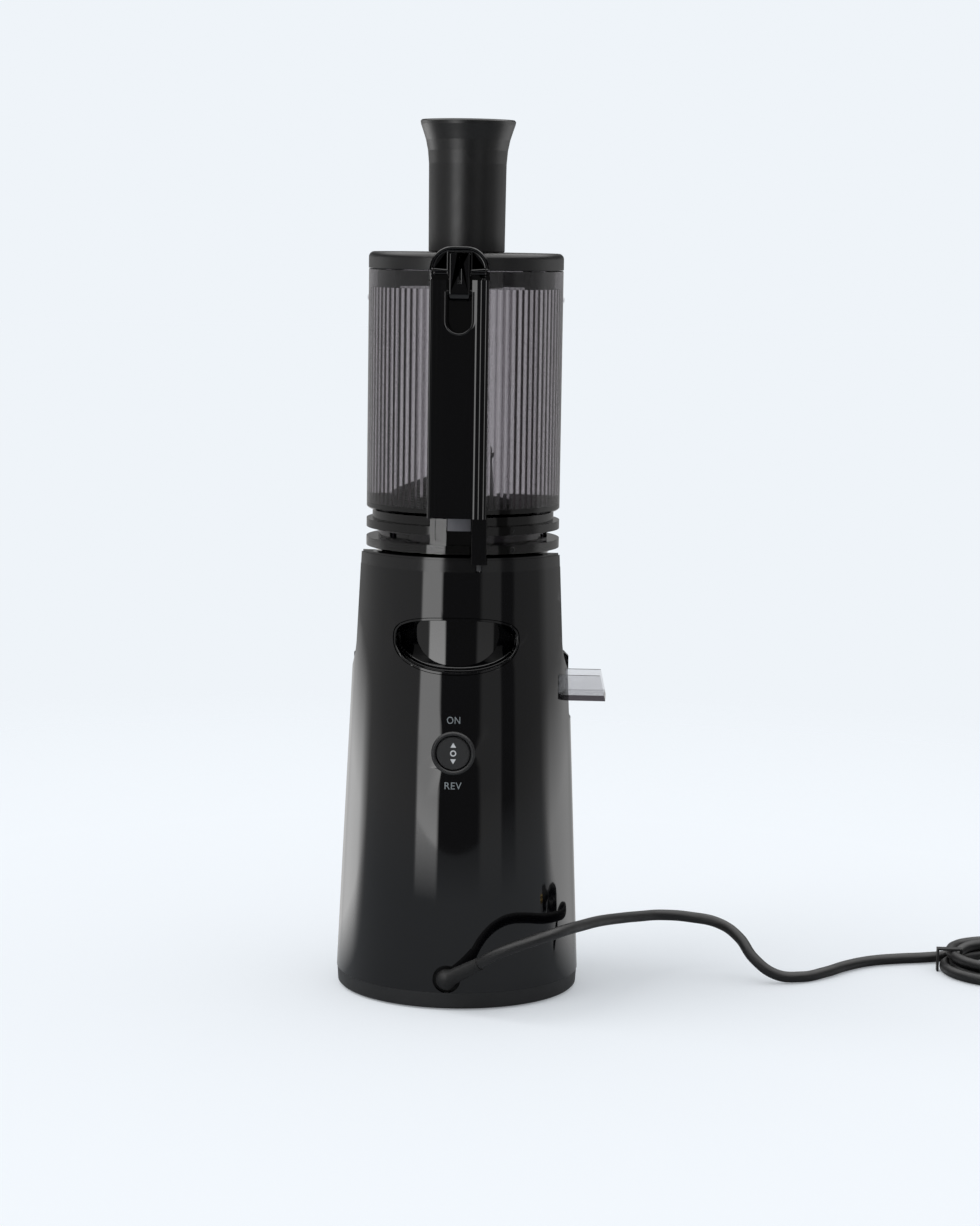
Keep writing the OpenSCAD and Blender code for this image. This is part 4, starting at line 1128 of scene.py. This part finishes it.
@dataclass
class Studio:
    """A pale floor, a pale backdrop and soft light.

    Attributes:
        pale: colour of the backdrop as seen.
        paper: colour of the floor's paper.
        paper_drift: share by which that colour drifts over the floor.
        front_edge: how far the floor reaches towards the camera.
        floor_size: its width and depth.
        floor_fade: distances at which the paper starts and ends to fade into the backdrop.
        floor_gloss: how bright the floor is in reflections, as a share.
        gloss_reach: depths between which reflections stop showing the floor.
        shadow_share: how much of the seen floor takes shadow.
        to_camera: level direction from the machine to the camera.
        to_right: level direction to the camera's right.
        high_from: sines of the height between which the uprights' low becomes their high.
        brightest: brightness at which a ramp is white.
        foot: sines of the height between which their light sets in.
        head: sines of the height between which it ends.
        spill: share of it that is left below and above.
        overhead: sines of the height between which the panel above sets in.
        overhead_level: its brightness.
        soft_level: level of the even light.
        soft_tint: its colour.
        sun_level: strength of the soft key light.
        sun_deg: how wide that light looks.
        sun_way: where it is: to the camera's right, towards the camera and up.
    """

    pale: Colour = (0.863, 0.904, 0.947)
    paper: Colour = (0.885, 0.917, 0.953)
    paper_drift: float = 0.005
    front_edge: float = 0.85
    floor_size: tuple[float, float] = (20.0, 14.0)
    floor_fade: tuple[float, float] = (0.55, 1.2)
    floor_gloss: float = 0.5
    gloss_reach: tuple[float, float] = (0.0, -0.15)
    shadow_share: float = 0.75
    to_camera: Point = (-0.0568, 0.9984, 0.0)
    to_right: Point = (-0.9984, -0.0568, 0.0)
    high_from: tuple[float, float] = (-0.15, -0.1)
    brightest: float = 6.0
    foot: tuple[float, float] = (-0.5, -0.24)
    head: tuple[float, float] = (0.06, 0.26)
    spill: float = 0.1
    overhead: tuple[float, float] = (0.45, 0.65)
    overhead_level: float = 2.5
    soft_level: float = 0.82
    soft_tint: Colour = (0.97, 0.985, 1.0)
    sun_level: float = 1.02
    sun_deg: float = 50.0
    sun_way: Point = (-0.75, 0.15, 0.95)

    def build(self) -> None:
        """Make the floor, the world and the lamp."""
        self.lay_floor()
        self.paint_world()
        self.hang_lamp()
        bpy.context.scene.view_settings.view_transform = "Standard"

    def lay_floor(self) -> None:
        """Lay a floor that ends before the camera and fades far behind the machine."""
        bpy.ops.object.select_all(action="DESELECT")
        bpy.ops.mesh.primitive_plane_add(size=1)
        floor = bpy.context.object
        floor.name = "floor"
        width, depth = self.floor_size
        floor.scale = (width, depth, 1.0)
        floor.location = (0, self.front_edge - depth / 2, -0.0002)
        bpy.ops.object.transform_apply(location=True, rotation=True, scale=True)
        material, graph = new_material("floor_paper")
        darker = tuple(c * (1 - self.paper_drift) for c in self.paper)
        colour = graph.ramp(graph.noise(3.0), [(0.3, darker), (0.7, self.paper)])
        rays = graph.add("ShaderNodeLightPath").outputs
        lit = graph.add("ShaderNodeBsdfDiffuse", in_Color=colour)
        dull = graph.math("MULTIPLY", rays["Is Glossy Ray"], 1 - self.floor_gloss)
        dark = graph.add("ShaderNodeBsdfDiffuse", in_Color=(0, 0, 0, 1))
        paper = graph.add(
            "ShaderNodeMixShader", in_0=dull, in_1=lit.outputs[0], in_2=dark.outputs[0]
        )
        away = graph.add("ShaderNodeVectorMath", operation="LENGTH", in_0=graph.place())
        near, far = self.floor_fade
        distant = graph.spread(away.outputs["Value"], 0.0, 1.0, start=near, end=far)
        depth_y = graph.add("ShaderNodeSeparateXYZ", in_0=graph.place()).outputs[1]
        shown, hidden = self.gloss_reach
        beyond = graph.spread(depth_y, 1.0, 0.0, start=hidden, end=shown)
        behind = graph.math("MULTIPLY", beyond, rays["Is Glossy Ray"])
        fade = graph.math("MAXIMUM", distant, behind)
        clear = graph.add("ShaderNodeBsdfTransparent")
        mixed = graph.add(
            "ShaderNodeMixShader", in_0=fade, in_1=paper.outputs[0], in_2=clear.outputs[0]
        )
        plain = graph.add("ShaderNodeEmission", in_Color=(*self.pale, 1), in_Strength=1.0)
        share = graph.math("MULTIPLY", rays["Is Camera Ray"], 1 - self.shadow_share)
        eased = graph.add(
            "ShaderNodeMixShader", in_0=share, in_1=mixed.outputs[0], in_2=plain.outputs[0]
        )
        graph.add("ShaderNodeOutputMaterial", in_Surface=eased.outputs[0])
        floor.data.materials.append(material)

    def level(
        self,
        graph: Graph,
        factor: bpy.types.NodeSocket,
        stops: Sequence[tuple[float, float]],
    ) -> bpy.types.NodeSocket:
        """Add a ramp of plain brightness.

        Args:
            graph: the world's nodes.
            factor: what drives it.
            stops: places from 0 to 1, each with its share of white.

        Returns:
            Its colour output.
        """
        return graph.ramp(factor, [(place, (share,) * 3) for place, share in stops])

    def ring(self, graph: Graph, turn: bpy.types.NodeSocket, high: bool) -> bpy.types.NodeSocket:
        """Set the uprights round the machine.

        Args:
            graph: the world's nodes.
            turn: the ray's azimuth, from 0 to 1.
            high: whether their brightness is the one near eye level.

        Returns:
            Their share of the brightest.
        """
        stops = [
            ((end + 180) / 360, (upright.high if high else upright.low) / self.brightest)
            for upright in UPRIGHTS
            for end in upright.span
        ]
        return self.level(graph, turn, stops)

    def paint_world(self) -> None:
        """Make a backdrop that is pale to the eye and striped like a studio in reflections."""
        world = bpy.data.worlds.new("studio")
        bpy.context.scene.world = world
        world.use_nodes = True
        graph = Graph(world.node_tree)
        ray = graph.add("ShaderNodeTexCoord").outputs["Generated"]
        ahead, side = (
            graph.add("ShaderNodeVectorMath", operation="DOT_PRODUCT", in_0=ray, in_1=way)
            for way in (self.to_camera, self.to_right)
        )
        angle = graph.math("ARCTAN2", side.outputs["Value"], ahead.outputs["Value"])
        turn = graph.math("MULTIPLY_ADD", angle, 0.5 / math.pi, 0.5)
        height = graph.add("ShaderNodeSeparateXYZ", in_0=ray).outputs[2]
        low, high = self.ring(graph, turn, high=False), self.ring(graph, turn, high=True)
        start, end = self.high_from
        ring = graph.add(
            "ShaderNodeMix", data_type="RGBA", in_6=low, in_7=high,
            in_0=graph.spread(height, 0.0, 1.0, start=start, end=end),
        ).outputs[2]
        rise = graph.math("MULTIPLY_ADD", height, 0.5, 0.5)
        heights = zip((*self.foot, *self.head), (self.spill, 1.0, 1.0, self.spill))
        reach = self.level(graph, rise, [((z + 1) / 2, share) for z, share in heights])
        above = zip(self.overhead, (0.0, self.overhead_level / self.brightest))
        panel = self.level(graph, rise, [((z + 1) / 2, share) for z, share in above])
        studio = graph.blend("ADD", graph.blend("MULTIPLY", ring, reach), panel)
        seen = graph.add("ShaderNodeLightPath").outputs
        glossy = graph.add("ShaderNodeBackground", in_Color=studio, in_Strength=self.brightest)
        pale = graph.add("ShaderNodeBackground", in_Color=(*self.pale, 1), in_Strength=1.0)
        soft = graph.add(
            "ShaderNodeBackground", in_Color=(*self.soft_tint, 1), in_Strength=self.soft_level
        )
        through = graph.math("MAXIMUM", seen["Is Camera Ray"], seen["Is Transmission Ray"])
        lit = graph.add(
            "ShaderNodeMixShader",
            in_0=seen["Is Glossy Ray"],
            in_1=soft.outputs[0],
            in_2=glossy.outputs[0],
        )
        final = graph.add(
            "ShaderNodeMixShader", in_0=through, in_1=lit.outputs[0], in_2=pale.outputs[0]
        )
        graph.add("ShaderNodeOutputWorld", in_Surface=final.outputs[0])

    def hang_lamp(self) -> None:
        """Hang one broad soft sun beyond the machine, on the camera's left."""
        bpy.ops.object.select_all(action="DESELECT")
        bpy.ops.object.light_add(type="SUN", location=(1.5, -1.0, 2.0))
        lamp = bpy.context.object
        lamp.name = "key_softbox"
        lamp.data.energy = self.sun_level
        lamp.data.angle = math.radians(self.sun_deg)
        side, ahead, up = self.sun_way
        towards = Vector(self.to_right) * side + Vector(self.to_camera) * ahead
        towards = (towards + Vector((0, 0, up))).normalized()
        lamp.rotation_euler = towards.to_track_quat("Z", "Y").to_euler()
        lamp.visible_glossy = False
        lamp.visible_camera = False


def main() -> None:
    """Build the viewpoint, the lead, the finishes, the marks and the studio."""
    Viewpoint().build()
    MainsLead().build()
    for name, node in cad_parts.items():
        dress(node, FINISH_OF[name])
    for edge in ROUNDED_EDGES:
        edge.build()
    SwitchMarks().build()
    LockMarks().build()
    PocketLip().build()
    for field in LAID_FIELDS:
        field.build()
    Studio().build()


if __name__ == "__main__":
    main()
